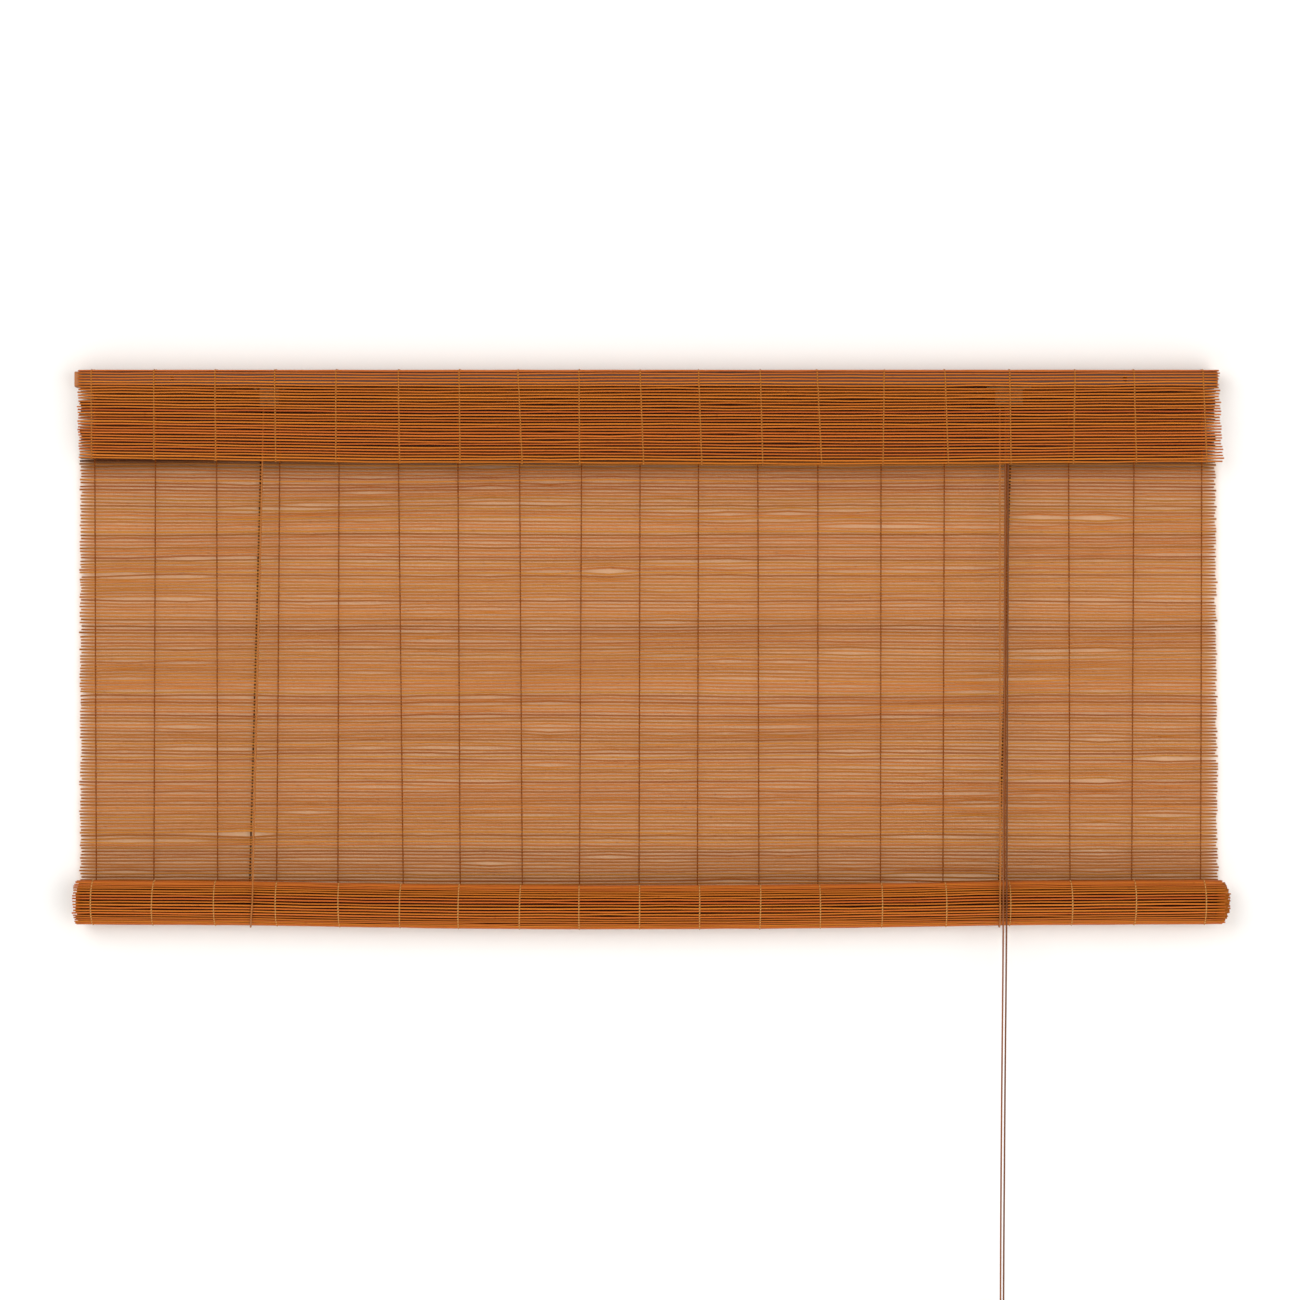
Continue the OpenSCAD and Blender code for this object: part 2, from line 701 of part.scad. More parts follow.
pull_run(fittings_y + lock_lane, left_pull_run_points);  // left_pull_run
pull_run(fittings_y - lock_lane, right_pull_run_points);  // right_pull_run
pull_cord(left_pull_points, [1, 0, -0.7]);  // left_pull_cord
pull_cord(right_pull_points, [-1, 0, -0.7]);  // right_pull_cord
pull_coil(left_coil_at);  // left_pull_coil
pull_coil(right_coil_at);  // right_pull_coil
coil_tie(left_coil_at, -1);  // left_coil_tie
coil_tie(right_coil_at, 1);  // right_coil_tie
pull_tail(left_tail_points);  // left_pull_tail
pull_tail(right_tail_points);  // right_pull_tail
tassel(left_tail_points[6][0], left_tail_points[6][1]);  // left_tassel
tassel(right_tail_points[6][0], right_tail_points[6][1]);  // right_tassel
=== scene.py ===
# %% [markdown]
# # A woven matchstick blind, half rolled up
# Split bamboo sticks are bound side by side with thread into a stiff cloth. One piece of it hangs
# behind a wooden headrail and is wound up from below. A shorter one, the valance, wraps over the
# rail. Two looped cords lift the roll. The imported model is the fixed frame, so it is loaded first,
# and every size below is worked out from it or is the real size in millimetres.

# %% Load the frame
import math

import bmesh
import bpy
import numpy as np
from mathutils import Matrix, Vector


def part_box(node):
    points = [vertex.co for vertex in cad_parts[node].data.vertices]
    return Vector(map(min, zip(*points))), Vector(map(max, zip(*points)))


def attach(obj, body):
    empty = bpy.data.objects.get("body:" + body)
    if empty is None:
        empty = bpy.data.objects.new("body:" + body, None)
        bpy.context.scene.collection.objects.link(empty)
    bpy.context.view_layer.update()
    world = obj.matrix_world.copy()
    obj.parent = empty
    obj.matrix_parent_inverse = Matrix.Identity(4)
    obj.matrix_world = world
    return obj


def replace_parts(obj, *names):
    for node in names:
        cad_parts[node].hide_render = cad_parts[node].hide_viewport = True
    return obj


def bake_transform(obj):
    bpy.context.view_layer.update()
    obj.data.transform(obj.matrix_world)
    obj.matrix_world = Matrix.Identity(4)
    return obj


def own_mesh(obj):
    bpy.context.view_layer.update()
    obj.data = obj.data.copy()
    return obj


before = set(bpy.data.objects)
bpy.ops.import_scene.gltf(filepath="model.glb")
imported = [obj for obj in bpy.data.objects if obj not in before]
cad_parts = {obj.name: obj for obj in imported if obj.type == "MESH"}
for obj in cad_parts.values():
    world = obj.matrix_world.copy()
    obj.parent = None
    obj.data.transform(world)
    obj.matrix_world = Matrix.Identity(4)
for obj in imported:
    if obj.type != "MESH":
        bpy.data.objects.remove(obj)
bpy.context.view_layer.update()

MM = 0.001
rail_low, rail_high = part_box("headrail")
shade_low, shade_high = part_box("shade_sticks")
roll_low, roll_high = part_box("rolled_shade")

# %% [markdown]
# ## Camera
# The blind is seen square on from across a room. A long lens keeps its edges parallel. A wide one
# from close by would show the ends of the roll, which a flat view doesn't.

# %% Camera
camera_data = bpy.data.cameras.new("camera")
camera_data.lens = 118
camera_data.sensor_width = 36
camera = bpy.data.objects.new("camera", camera_data)
camera.location = (0.0016, -4.5, -0.2844)
camera.rotation_euler = (math.radians(90), 0, 0)
bpy.context.scene.collection.objects.link(camera)
bpy.context.scene.camera = camera
print("camera", tuple(round(v, 3) for v in camera.location), "lens", camera_data.lens, "mm")

# %% [markdown]
# ## Small helpers for materials
# A shader is built from nodes. One function adds any node with its settings, its values and its
# links, so each material below reads from top to bottom like a recipe. Colours are written as the
# hex values that a paint chart gives, and one function turns them into the linear values that
# Blender works in.

# %% Helpers for materials
BUMP_MM = 0.1  # depth of a fine surface


def linear(code):
    """An sRGB hex colour as linear RGBA."""
    parts = [int(code[i:i + 2], 16) / 255 for i in (1, 3, 5)]
    return [c / 12.92 if c <= 0.04045 else ((c + 0.055) / 1.055) ** 2.4 for c in parts] + [1.0]


def add(tree, kind, values=None, **settings):
    """Adds a node. A value that is another node's output becomes a link."""
    node = tree.nodes.new("ShaderNode" + kind)
    for key, value in settings.items():
        setattr(node, key, value)
    for key, value in (values or {}).items():
        if isinstance(value, bpy.types.NodeSocket):
            tree.links.new(value, node.inputs[key])
        else:
            node.inputs[key].default_value = value
    return node


def ramp(tree, factor, stops):
    """A colour ramp through (place, hex colour) stops."""
    node = add(tree, "ValToRGB", {"Fac": factor})
    for extra in stops[2:]:
        node.color_ramp.elements.new(extra[0])
    for element, (place, code) in zip(node.color_ramp.elements, stops):
        element.position = place
        element.color = linear(code)
    return node.outputs["Color"]


def finish_named(name, **values):
    """A new material and its Principled shader, with the values that are the same all over."""
    material = bpy.data.materials.new(name)
    material.use_nodes = True
    shader = material.node_tree.nodes["Principled BSDF"]
    for key, value in values.items():
        shader.inputs[key.replace("_", " ")].default_value = value
    return material, material.node_tree, shader


def connect(tree, output, shader, socket):
    tree.links.new(output, shader.inputs[socket])


def maths(tree, operation, *values):
    return add(tree, "Math", dict(enumerate(values)), operation=operation).outputs[0]


def mix_colours(tree, factor, first, second, **settings):
    mixed = add(tree, "Mix", {0: factor, 6: first, 7: second}, data_type="RGBA", **settings)
    return mixed.outputs[2]


def map_range(tree, value, start, end, first=0.0, last=1.0, **settings):
    """A value between start and end as one between first and last."""
    return add(tree, "MapRange", {"Value": value, "From Min": start, "From Max": end,
                                  "To Min": first, "To Max": last}, **settings).outputs[0]


def noise(tree, place, scale, **values):
    """Noise stretched by a scale for each axis."""
    mapped = add(tree, "Mapping", {"Vector": place, "Scale": scale}).outputs[0]
    return add(tree, "TexNoise", {"Vector": mapped, "Scale": 1.0, **values}).outputs["Fac"]


def bumpy(tree, shader, height, strength, distance_mm=BUMP_MM):
    bump = add(tree, "Bump", {"Height": height, "Strength": strength, "Distance": distance_mm * MM})
    connect(tree, bump.outputs[0], shader, "Normal")

# %% [markdown]
# ## Stained bamboo
# The sticks are split from the cane, stained orange brown and given a thin satin varnish. Fibres run
# along each stick, about 0.4 mm apart, and no two sticks take the stain alike. Every stick therefore
# carries its own number, kept as an attribute on the mesh. It shifts the fibre pattern and picks the
# tone, so one material serves all of them. A darker band every 0.6 m or so is a joint of the cane.
# The turns inside the roll are painted dark all along, as shade, and lighter at their ends, as painted
# light where they stand out of the roll. The top of the shade behind the valance is painted dark too, as the
# valance's shade.

# %% Bamboo
# Painted light at the blind's ends, and painted shade behind the valance
LIT_ENDS_REACH = (0.594, 0.599)  # metres from the middle: where the lighter ends begin and are reached
VALANCE_SHADE_HEIGHTS = (-0.092, -0.084)  # heights in metres: where the shade goes dark behind the valance


def painted_lit_ends(tree, place, colour, code):
    """Painted light: the same colour with a lighter one over the last few millimetres at both ends of the
    blind.
    """
    reach = maths(tree, "ABSOLUTE", add(tree, "SeparateXYZ", {0: place}).outputs["X"])
    return mix_colours(tree, map_range(tree, reach, *LIT_ENDS_REACH), colour, linear(code))


def bamboo(name, dark, middle, light, roughness, shine, ends=None, valance_shade_colour=None):
    material, tree, shader = finish_named(
        name, Roughness=roughness, Specular_IOR_Level=shine, Coat_Weight=shine / 2, Coat_Roughness=0.25)
    place = add(tree, "TexCoord").outputs["Object"]
    own = add(tree, "Attribute", attribute_name="stick").outputs["Fac"]
    shift = add(tree, "CombineXYZ", {"X": maths(tree, "MULTIPLY", own, 37.0), "Z": own})
    moved = add(tree, "VectorMath", {0: place, 1: shift.outputs[0]}, operation="ADD").outputs[0]
    # Fibres: 0.4 mm across the stick and about 60 mm along it
    fibres = noise(tree, moved, (16, 2500, 2500), Detail=3.0, Roughness=0.6)
    # Slow changes of tone, some 150 mm long
    drift = noise(tree, moved, (7, 0, 0), Detail=2.0)
    mixed = add(tree, "Mix", {0: 0.5, 2: own, 3: drift}, data_type="FLOAT").outputs[0]
    mixed = add(tree, "Mix", {0: 0.25, 2: mixed, 3: fibres}, data_type="FLOAT").outputs[0]
    colour = ramp(tree, mixed, [(0.18, dark), (0.82, light), (0.5, middle)])
    # Some canes are yellower and some redder
    luck = add(tree, "TexWhiteNoise", {"W": own}, noise_dimensions="1D").outputs["Value"]
    tint = ramp(tree, luck, [(0.1, "#FFE6E2"), (0.9, "#F6F2B4"), (0.5, "#FFF0D4")])
    colour = mix_colours(tree, 1.0, colour, tint, blend_type="MULTIPLY")
    # Painted light: the last few millimetres at each end are lighter
    if ends:
        colour = painted_lit_ends(tree, place, colour, ends)
    # Painted shade: the shade turns dark above the valance's lower edge, where the valance shades it
    if valance_shade_colour:
        height = add(tree, "SeparateXYZ", {0: place}).outputs["Z"]
        colour = mix_colours(tree, map_range(tree, height, *VALANCE_SHADE_HEIGHTS), colour, linear(valance_shade_colour))
    # Joints of the cane: a band 4 mm long in each 600 mm
    along = add(tree, "SeparateXYZ", {0: moved}).outputs["X"]
    joint = map_range(tree, maths(tree, "PINGPONG", along, 0.3), 0.0, 0.002, 0.45, 0.0)
    connect(tree, mix_colours(tree, joint, colour, linear(dark)), shader, "Base Color")
    bumpy(tree, shader, fibres, 0.35)
    return material


front_bamboo = bamboo("stained_bamboo_satin_varnish", "#9C460C", "#C06617", "#DE8830", 0.5, 0.15)
shade_bamboo = bamboo("stained_bamboo_worn_varnish", "#844212", "#AC6622", "#CE8C40", 0.6, 0.1,
                      valance_shade_colour="#3E1804")
# Painted shade: the turns inside the roll are dark all along, with painted light on their ends
inner_bamboo_painted_shade = bamboo("stained_bamboo_painted_shade", "#1E0800", "#341202", "#481C05", 0.65, 0.05,
                      ends="#A85C1A")
print("bamboo finishes:", front_bamboo.name, shade_bamboo.name, inner_bamboo_painted_shade.name)

# %% [markdown]
# ## Stained wood
# The headrail and the rod in the roll are softwood laths in the same stain. Its colour is painted dark
# along the lath, as shade where the rail shows through the valance, and lighter over the last few
# millimetres at each end, as painted light. Growth rings cut along the lath give long streaks a few
# millimetres apart, with fine pores between them. The tassels are turned from a closer wood and
# lacquered, so they are smoother and brighter.

# %% Wood
def wood(name, dark, light, ring_mm, roughness, coat, along, ends=None):
    """Wood whose grain runs along one axis. The streaks are 40 times as long as they are wide."""
    material, tree, shader = finish_named(
        name, Roughness=roughness, Coat_Weight=coat, Coat_Roughness=0.25)
    place = add(tree, "TexCoord").outputs["Object"]
    across = 1000 / ring_mm
    ring_scale = [across, across, across]
    ring_scale[along] = across / 40
    rings = noise(tree, place, ring_scale, Detail=4.0, Distortion=0.6)
    # Pores: a third of a millimetre wide and 11 mm long
    pore_scale = [3000, 3000, 3000]
    pore_scale[along] = 90
    pores = noise(tree, place, pore_scale, Detail=1.0)
    mixed = add(tree, "Mix", {0: 0.3, 2: rings, 3: pores}, data_type="FLOAT").outputs[0]
    colour = ramp(tree, mixed, [(0.36, dark), (0.66, light)])
    # Painted light: lighter over the last few millimetres at each end
    if ends:
        colour = painted_lit_ends(tree, place, colour, ends)
    connect(tree, colour, shader, "Base Color")
    bumpy(tree, shader, pores, 0.3)
    return material


# Painted shade and light on the laths: a dark body and lighter ends
rail_wood = wood("stained_softwood", "#3E1C06", "#663210", 2.5, 0.55, 0.0, 0, "#A8642A")
tassel_wood = wood("lacquered_turned_wood", "#8A4A16", "#B8702A", 1.5, 0.3, 0.4, 2)
print("woods:", rail_wood.name, tassel_wood.name)

# %% [markdown]
# ## Thread and cord
# The binding thread is two-ply cotton, too fine for its plies to show at this distance, so its
# twist is drawn 1.2 mm long. The cord is a round polyester braid. Its strands cross each other in
# two directions, which two sets of diagonal stripes give: one runs up the cord's own map and one
# down. The map's first number is metres along the cord and its second one turn round it.

# %% Thread and cord
TWIST_MM, BRAID_MM = 1.2, 2.4


def cotton(name, dark, light, shine=0.2):
    material, tree, shader = finish_named(name, Roughness=0.85, Specular_IOR_Level=shine)
    place = add(tree, "TexCoord").outputs["Object"]
    plies = add(tree, "TexWave", {
        "Vector": add(tree, "Mapping", {"Vector": place, "Rotation": (0, math.radians(35), 0)}).outputs[0],
        "Scale": 1000 / TWIST_MM / (2 * math.pi), "Distortion": 1.5}, bands_direction="Z").outputs["Fac"]
    connect(tree, ramp(tree, plies, [(0.1, dark), (0.9, light)]), shader, "Base Color")
    bumpy(tree, shader, plies, 0.5)
    return material


def braid(name, dark, light, shine=0.25):
    material, tree, shader = finish_named(name, Roughness=0.62, Specular_IOR_Level=shine)
    spot = add(tree, "SeparateXYZ", {0: add(tree, "UVMap", uv_map="UVMap").outputs[0]})
    along = maths(tree, "MULTIPLY", spot.outputs["X"], 2 * math.pi * 1000 / BRAID_MM)
    heights = []
    for way in (1, -1):
        turn = maths(tree, "MULTIPLY", spot.outputs["Y"], way * 4 * math.pi)
        heights.append(maths(tree, "SINE", maths(tree, "ADD", along, turn)))
    level = map_range(tree, maths(tree, "MAXIMUM", *heights), -0.6, 1.0)
    connect(tree, ramp(tree, level, [(0.0, dark), (1.0, light)]), shader, "Base Color")
    bumpy(tree, shader, level, 0.6, 0.2)
    return material


thread_cotton = cotton("two_ply_cotton", "#74340C", "#985018", 0.03)
front_cotton = cotton("two_ply_cotton_light", "#A87030", "#D8A460")
valance_cotton = cotton("two_ply_cotton_middle", "#9A5A1C", "#C8843A")
lift_braid = braid("braided_polyester_brown", "#84461A", "#B87232")
# Painted shade: the rear falls behind the shade use a near black, shineless copy of the same cord
rear_braid_painted_shade = braid("braided_polyester_painted_shade", "#240800", "#441402", 0.0)
left_braid = braid("braided_polyester_rose_brown", "#6C3A18", "#965A32")
right_braid = braid("braided_polyester_walnut_brown", "#542A10", "#7C4826")

# %% [markdown]
# ## Metal and nylon
# The staples are zinc plated wire, dull and slightly cloudy from the bath. The pulley, the cord lock
# and their screws are bronzed steel, so that they don't glint through the valance, and the wheels and
# the pawl are moulded in dark brown nylon, with the soft shine of a mould surface.

# %% Metal and nylon
def clouded(name, dark, light, cloud_mm, grain, **values):
    """A colour that wanders between two over cloud_mm, with a fine grain a quarter of a millimetre wide."""
    material, tree, shader = finish_named(name, **values)
    place = add(tree, "TexCoord").outputs["Object"]
    cloud = add(tree, "TexNoise", {"Vector": place, "Scale": 1000 / cloud_mm, "Detail": 4.0}).outputs["Fac"]
    connect(tree, ramp(tree, cloud, [(0.3, dark), (0.7, light)]), shader, "Base Color")
    fine = add(tree, "TexNoise", {"Vector": place, "Scale": 4000.0, "Detail": 1.0}).outputs["Fac"]
    bumpy(tree, shader, fine, grain, BUMP_MM / 2)
    return material


zinc = clouded("zinc_plated_steel", "#9A9C9B", "#C2C3BE", 3, 0.3, Metallic=1.0, Roughness=0.36)
bronzed = clouded("bronzed_steel", "#4A3826", "#6A5138", 4, 0.3, Metallic=1.0, Roughness=0.42)
nylon = clouded("moulded_brown_nylon", "#2C2018", "#3A2B20", 6, 0.15, Roughness=0.38)

kept_finishes = {
    "headrail": rail_wood, "valance_staples": zinc, "shade_staples": zinc, "cord_staples": zinc,
    "pulley_case": bronzed, "pulley_pin": bronzed, "pulley_screws": bronzed, "pulley_wheel": nylon,
    "lock_case": bronzed, "lock_wheel_pin": bronzed, "lock_pawl_pin": bronzed, "lock_screws": bronzed,
    "lock_wheel": nylon, "lock_pawl": nylon,
}
for node_name, material in kept_finishes.items():
    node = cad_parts[node_name]
    node.data.materials.clear()
    node.data.materials.append(material)
print("finishes on the packed nodes that stay:", len(kept_finishes))

# %% [markdown]
# ## Sweeping a cord
# A cord is a circle carried along a route. Each step extrudes the ring and turns it as little as it
# can, so the braid doesn't twist. A curve object would give the tube too, but not a map that runs in
# metres along the cord. The routes are listed points, in millimetres, and a smooth line runs
# through them.

# %% Helpers for cords
def new_piece(name, bm, material):
    """Turns a bmesh into an object at the origin, with smooth faces."""
    mesh = bpy.data.meshes.new(name)
    bm.to_mesh(mesh)
    bm.free()
    mesh.shade_smooth()
    mesh.materials.append(material)
    piece = bpy.data.objects.new(name, mesh)
    bpy.context.scene.collection.objects.link(piece)
    return piece


def smooth_line(points, steps):
    """Points on a Catmull-Rom line through the given ones."""
    points = [np.array(p, float) for p in points]
    ends = [2 * points[0] - points[1], *points, 2 * points[-1] - points[-2]]
    line = []
    for a, b, c, d in zip(ends, ends[1:], ends[2:], ends[3:]):
        for i in range(steps):
            t = i / steps
            line.append(0.5 * (2 * b + (c - a) * t + (2 * a - 5 * b + 4 * c - d) * t ** 2
                               + (3 * b - a - 3 * c + d) * t ** 3))
    return line + [points[-1]]


def line_length(points):
    return sum(np.linalg.norm(np.subtract(b, a)) for a, b in zip(points, points[1:]))


def sweep(name, points, radius, material, sides=8):
    """A round cord of that radius along points, all in millimetres."""
    centres = [Vector(p) * MM for p in points]
    last = len(centres) - 1
    bm = bmesh.new()
    side = bm.verts.layers.int.new("side")
    ring = bm.verts.layers.int.new("ring")
    start = bmesh.ops.create_circle(bm, cap_ends=True, segments=sides, radius=radius * MM)["verts"]
    for number, vert in enumerate(start):
        vert[side] = number
    across, before, arc = None, Matrix.Identity(4), [0.0]
    edges = bm.edges[:]
    for i, centre in enumerate(centres):
        ahead = (centres[min(i + 1, last)] - centres[max(i - 1, 0)]).normalized()
        across = ahead.orthogonal() if across is None else across - ahead * across.dot(ahead)
        across.normalize()
        here = Matrix((across, ahead.cross(across), ahead)).transposed().to_4x4()
        here.translation = centre
        if i:
            arc.append(arc[-1] + (centre - centres[i - 1]).length)
            made = bmesh.ops.extrude_edge_only(bm, edges=edges)["geom"]
            start = [g for g in made if isinstance(g, bmesh.types.BMVert)]
            fresh = set(start)
            edges = [g for g in made if isinstance(g, bmesh.types.BMEdge) and fresh.issuperset(g.verts)]
            for vert in start:
                vert[ring] = i
        bmesh.ops.transform(bm, matrix=here @ before.inverted(), verts=start)
        before = here
    bmesh.ops.contextual_create(bm, geom=edges)
    bmesh.ops.recalc_face_normals(bm, faces=bm.faces)
    uv = bm.loops.layers.uv.new("UVMap")
    for face in bm.faces:
        wraps = {0, sides - 1} <= {v[side] for v in face.verts}
        for loop in face.loops:
            number = loop.vert[side]
            loop[uv].uv = (arc[loop.vert[ring]], (number + sides * (wraps and number == 0)) / sides)
    return new_piece(name, bm, material)

# %% [markdown]
# ## Lift cords
# Each lift cord is stapled to the back of the rail, hangs behind the shade, passes under the roll and
# rises in front of it. The left one then runs over a pulley and along under the rail to the cord lock.
# The stretches move differently when the roll rises, so each is a piece of its own. The falls are
# kept with the rail, and the loops under the roll rise with it.

# %% Lift cords
CORD_R, KNOT_R = 0.9, 0.75
roll_y = (roll_low[1] + roll_high[1]) / 2 / MM
roll_z = (roll_low[2] + roll_high[2]) / 2 / MM
roll_r = (roll_high[2] - roll_low[2]) / 2 / MM
loop_r = roll_r + 0.3 + CORD_R
STAPLE_Z, RAIL_FOOT_Z, REAR_Y = 3, -8, 3.4  # the rear strands: their staples, the rail's foot, their plane
FITTINGS_Y, LANE = -19, 1.5  # the plane of the wheels, and each lane of the lock's wheel from it
PULLEY, PULLEY_R = (-398.5, -18.5), 6  # each wheel's axis, as X and Z, and its cord's radius there
LOCK, LOCK_R = (373.5, -16.7), 4.2
FALL_STEPS, LOOP_STEPS = 12, 26


def shrinks(piece):
    """Keeps a piece between the rail and the roll with the rail, on a mesh of its own."""
    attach(piece, "headrail")
    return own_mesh(piece)


def touch(top_y, top_z):
    """Where a line from a point above meets the loop round the roll's front: y, z and angle."""
    away = (top_y - roll_y, top_z - roll_z)
    angle = math.atan2(away[1], away[0]) + math.acos(loop_r / math.hypot(*away))
    return roll_y + loop_r * math.cos(angle), roll_z + loop_r * math.sin(angle), angle


def knot(name, place, size, material, body):
    """An overhand knot: a short cord along a trefoil, pulled tight enough to be thinner."""
    turns = [2 * math.pi * i / 42 for i in range(43)]
    line = [np.array(place) + size * np.array((math.sin(t) + 2 * math.sin(2 * t), -math.sin(3 * t) * 1.2,
                                               math.cos(t) - 2 * math.cos(2 * t))) for t in turns]
    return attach(sweep(name, line, KNOT_R, material, sides=6), body)


def lift_cord(side, rear_top, rear_low, front_low, front_top, front_y, front_z):
    """The rear fall, the loop and the front fall of one cord."""
    rail_foot, roll_back = np.array((rear_top, REAR_Y, RAIL_FOOT_Z)), np.array((rear_low, REAR_Y, roll_z))
    rear = [(rear_top, REAR_Y, STAPLE_Z), *np.linspace(rail_foot, roll_back, FALL_STEPS + 1)]
    rear_fall = sweep(f"{side}_rear_cord", rear, CORD_R, rear_braid_painted_shade)
    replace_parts(shrinks(rear_fall), f"{side}_rear_fall")
    rear_knot = knot(f"{side}_rear_knot", (rear_top, REAR_Y + 1.1, STAPLE_Z + 1), 0.5, rear_braid_painted_shade, "headrail")
    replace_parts(rear_knot, f"{side}_rear_fall")
    y, z, angle = touch(front_y, front_z)
    bight = [(x, roll_y + loop_r * math.cos(a), roll_z + loop_r * math.sin(a))
             for x, a in zip(np.linspace(rear_low, front_low, LOOP_STEPS + 1),
                             np.linspace(0, angle - 2 * math.pi, LOOP_STEPS + 1))]
    loop = sweep(f"{side}_loop_cord", bight, CORD_R, lift_braid)
    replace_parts(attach(loop, "cord_bights"), f"{side}_bight")
    front = np.linspace((front_low, y, z), (front_top, front_y, front_z), FALL_STEPS + 1)
    front_fall = sweep(f"{side}_front_cord", front, CORD_R, lift_braid)
    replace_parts(shrinks(front_fall), f"{side}_front_fall")


lift_cord("left", -407.8, -421.9, -414, -404.5, FITTINGS_Y, PULLEY[1])
lift_cord("right", 384.6, 369.7, 367.5, 369.3, FITTINGS_Y - LANE, LOCK[1])


def over(centre, radius, y, start, end, steps):
    """Points of a cord over a wheel, from one angle to another, in degrees."""
    angles = [math.radians(start + (end - start) * i / steps) for i in range(steps + 1)]
    return [(centre[0] + radius * math.cos(a), y, centre[1] + radius * math.sin(a)) for a in angles]


traverse = over(PULLEY, PULLEY_R, FITTINGS_Y, 180, 90, 8) + over(LOCK, LOCK_R, FITTINGS_Y + LANE, 90, 0, 8)
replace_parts(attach(sweep("left_traverse_cord", traverse, CORD_R, lift_braid), "headrail"), "left_traverse")
turn = over(LOCK, LOCK_R, FITTINGS_Y - LANE, 180, 0, 14)
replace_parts(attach(sweep("right_turn_cord", turn, CORD_R, lift_braid), "headrail"), "right_turn")
print("lift cords made; front falls meet the roll", round(touch(FITTINGS_Y, PULLEY[1])[1], 1), "mm down")

# %% [markdown]
# ## Pull cords
# Both cords leave the lock side by side, lean out over the front of the roll and hang free below it.
# There is a good deal more cord than shows, because it has to let the whole shade down. The spare
# length is wound into a round coil at the end, which a tie holds, and the cord ends in a knot inside
# a turned tassel. Above the roll the cord is one piece, kept with the rail. Below it
# one unbroken cord runs down, through every turn of the coil and on to its knot.

# %% Pull cords
LAYERS, COLUMNS, PITCH, INNER_R = 5, 6, 2 * CORD_R, 5.7
OUTER_R = INNER_R + (LAYERS - 1) * PITCH
TURN_STEPS = 20  # points in one turn of the coil
TIE_TURNS, TIE_STEPS, TIE_R, TIE_WIDTH = 5, 24, 0.35, 2.6


def coil(centre, start, sense, y_step, leave_r):
    """Turns wound column by column: in, across, out again, from a place on the rim and back to it."""
    x0, y0, z0 = centre
    begin_r = math.hypot(start[0] - x0, start[2] - z0)
    angle = math.atan2(start[2] - z0, start[0] - x0)
    legs = [(begin_r, OUTER_R, 0, 0, 0.5)]
    for column in range(COLUMNS):
        inward = column % 2 == 0
        r_from, r_to = (OUTER_R, INNER_R) if inward else (INNER_R, OUTER_R)
        legs.append((r_from, r_to, column, column, LAYERS - 1))
        if column < COLUMNS - 1:
            legs.append((r_to, r_to, column, column + 1, 0.5))
    last = (angle if sense < 0 else math.pi - angle) / (2 * math.pi)
    legs.append((OUTER_R, leave_r, COLUMNS - 1, COLUMNS - 1, last))
    line = []
    for r_from, r_to, c_from, c_to, turns in legs:
        steps = max(3, round(turns * TURN_STEPS))
        for i in range(steps):
            t = (i + 1) / steps
            angle += sense * 2 * math.pi * turns / steps
            r = r_from + (r_to - r_from) * t
            line.append((x0 + r * math.cos(angle), start[1] + y_step * (c_from + (c_to - c_from) * t),
                         z0 + r * math.sin(angle)))
    return line


def tie(name, centre, material):
    """Turns of thread round the coil's bundle, at one side of the ring."""
    half_x, half_y = (OUTER_R - INNER_R) / 2 + CORD_R + 0.6, COLUMNS * CORD_R + 0.5
    line = []
    for i in range(TIE_TURNS * TIE_STEPS + 1):
        a = 2 * math.pi * i / TIE_STEPS
        c, s = math.cos(a), math.sin(a)
        square = (abs(c) ** 4 + abs(s) ** 4) ** -0.25
        line.append((centre[0] + half_x * square * c, centre[1] + half_y * square * s,
                     centre[2] + TIE_WIDTH * (i / (TIE_TURNS * TIE_STEPS) - 0.5)))
    return sweep(name, line, TIE_R, material, sides=6)


def pull_cord(side, run, free, tail, coil_at, sense, tie_side, material):
    run_piece = sweep(f"{side}_pull_run_cord", run[:2] + smooth_line(run[2:], 8), CORD_R, material)
    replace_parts(shrinks(run_piece), f"{side}_pull_run")
    y_step = math.copysign(PITCH, tail[0][1] - free[-1][1])
    leave_r = abs(tail[0][0] - coil_at[0])
    line = smooth_line(free, 3)
    line += coil(coil_at, free[-1], sense, y_step, leave_r) + smooth_line(tail, 3)
    piece = sweep(f"{side}_free_cord", line, CORD_R, material)
    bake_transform(piece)
    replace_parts(piece, f"{side}_pull_cord", f"{side}_pull_coil", f"{side}_pull_tail")
    end_knot = knot(f"{side}_end_knot", tail[-1], 0.5, material, "pull_cords")
    middle = coil_at[0] + tie_side * (INNER_R + OUTER_R) / 2
    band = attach(tie(f"{side}_coil_wrap", (middle, coil_at[1], coil_at[2]), thread_cotton), "pull_cords")
    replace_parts(band, f"{side}_coil_tie")
    return piece, line, end_knot, band


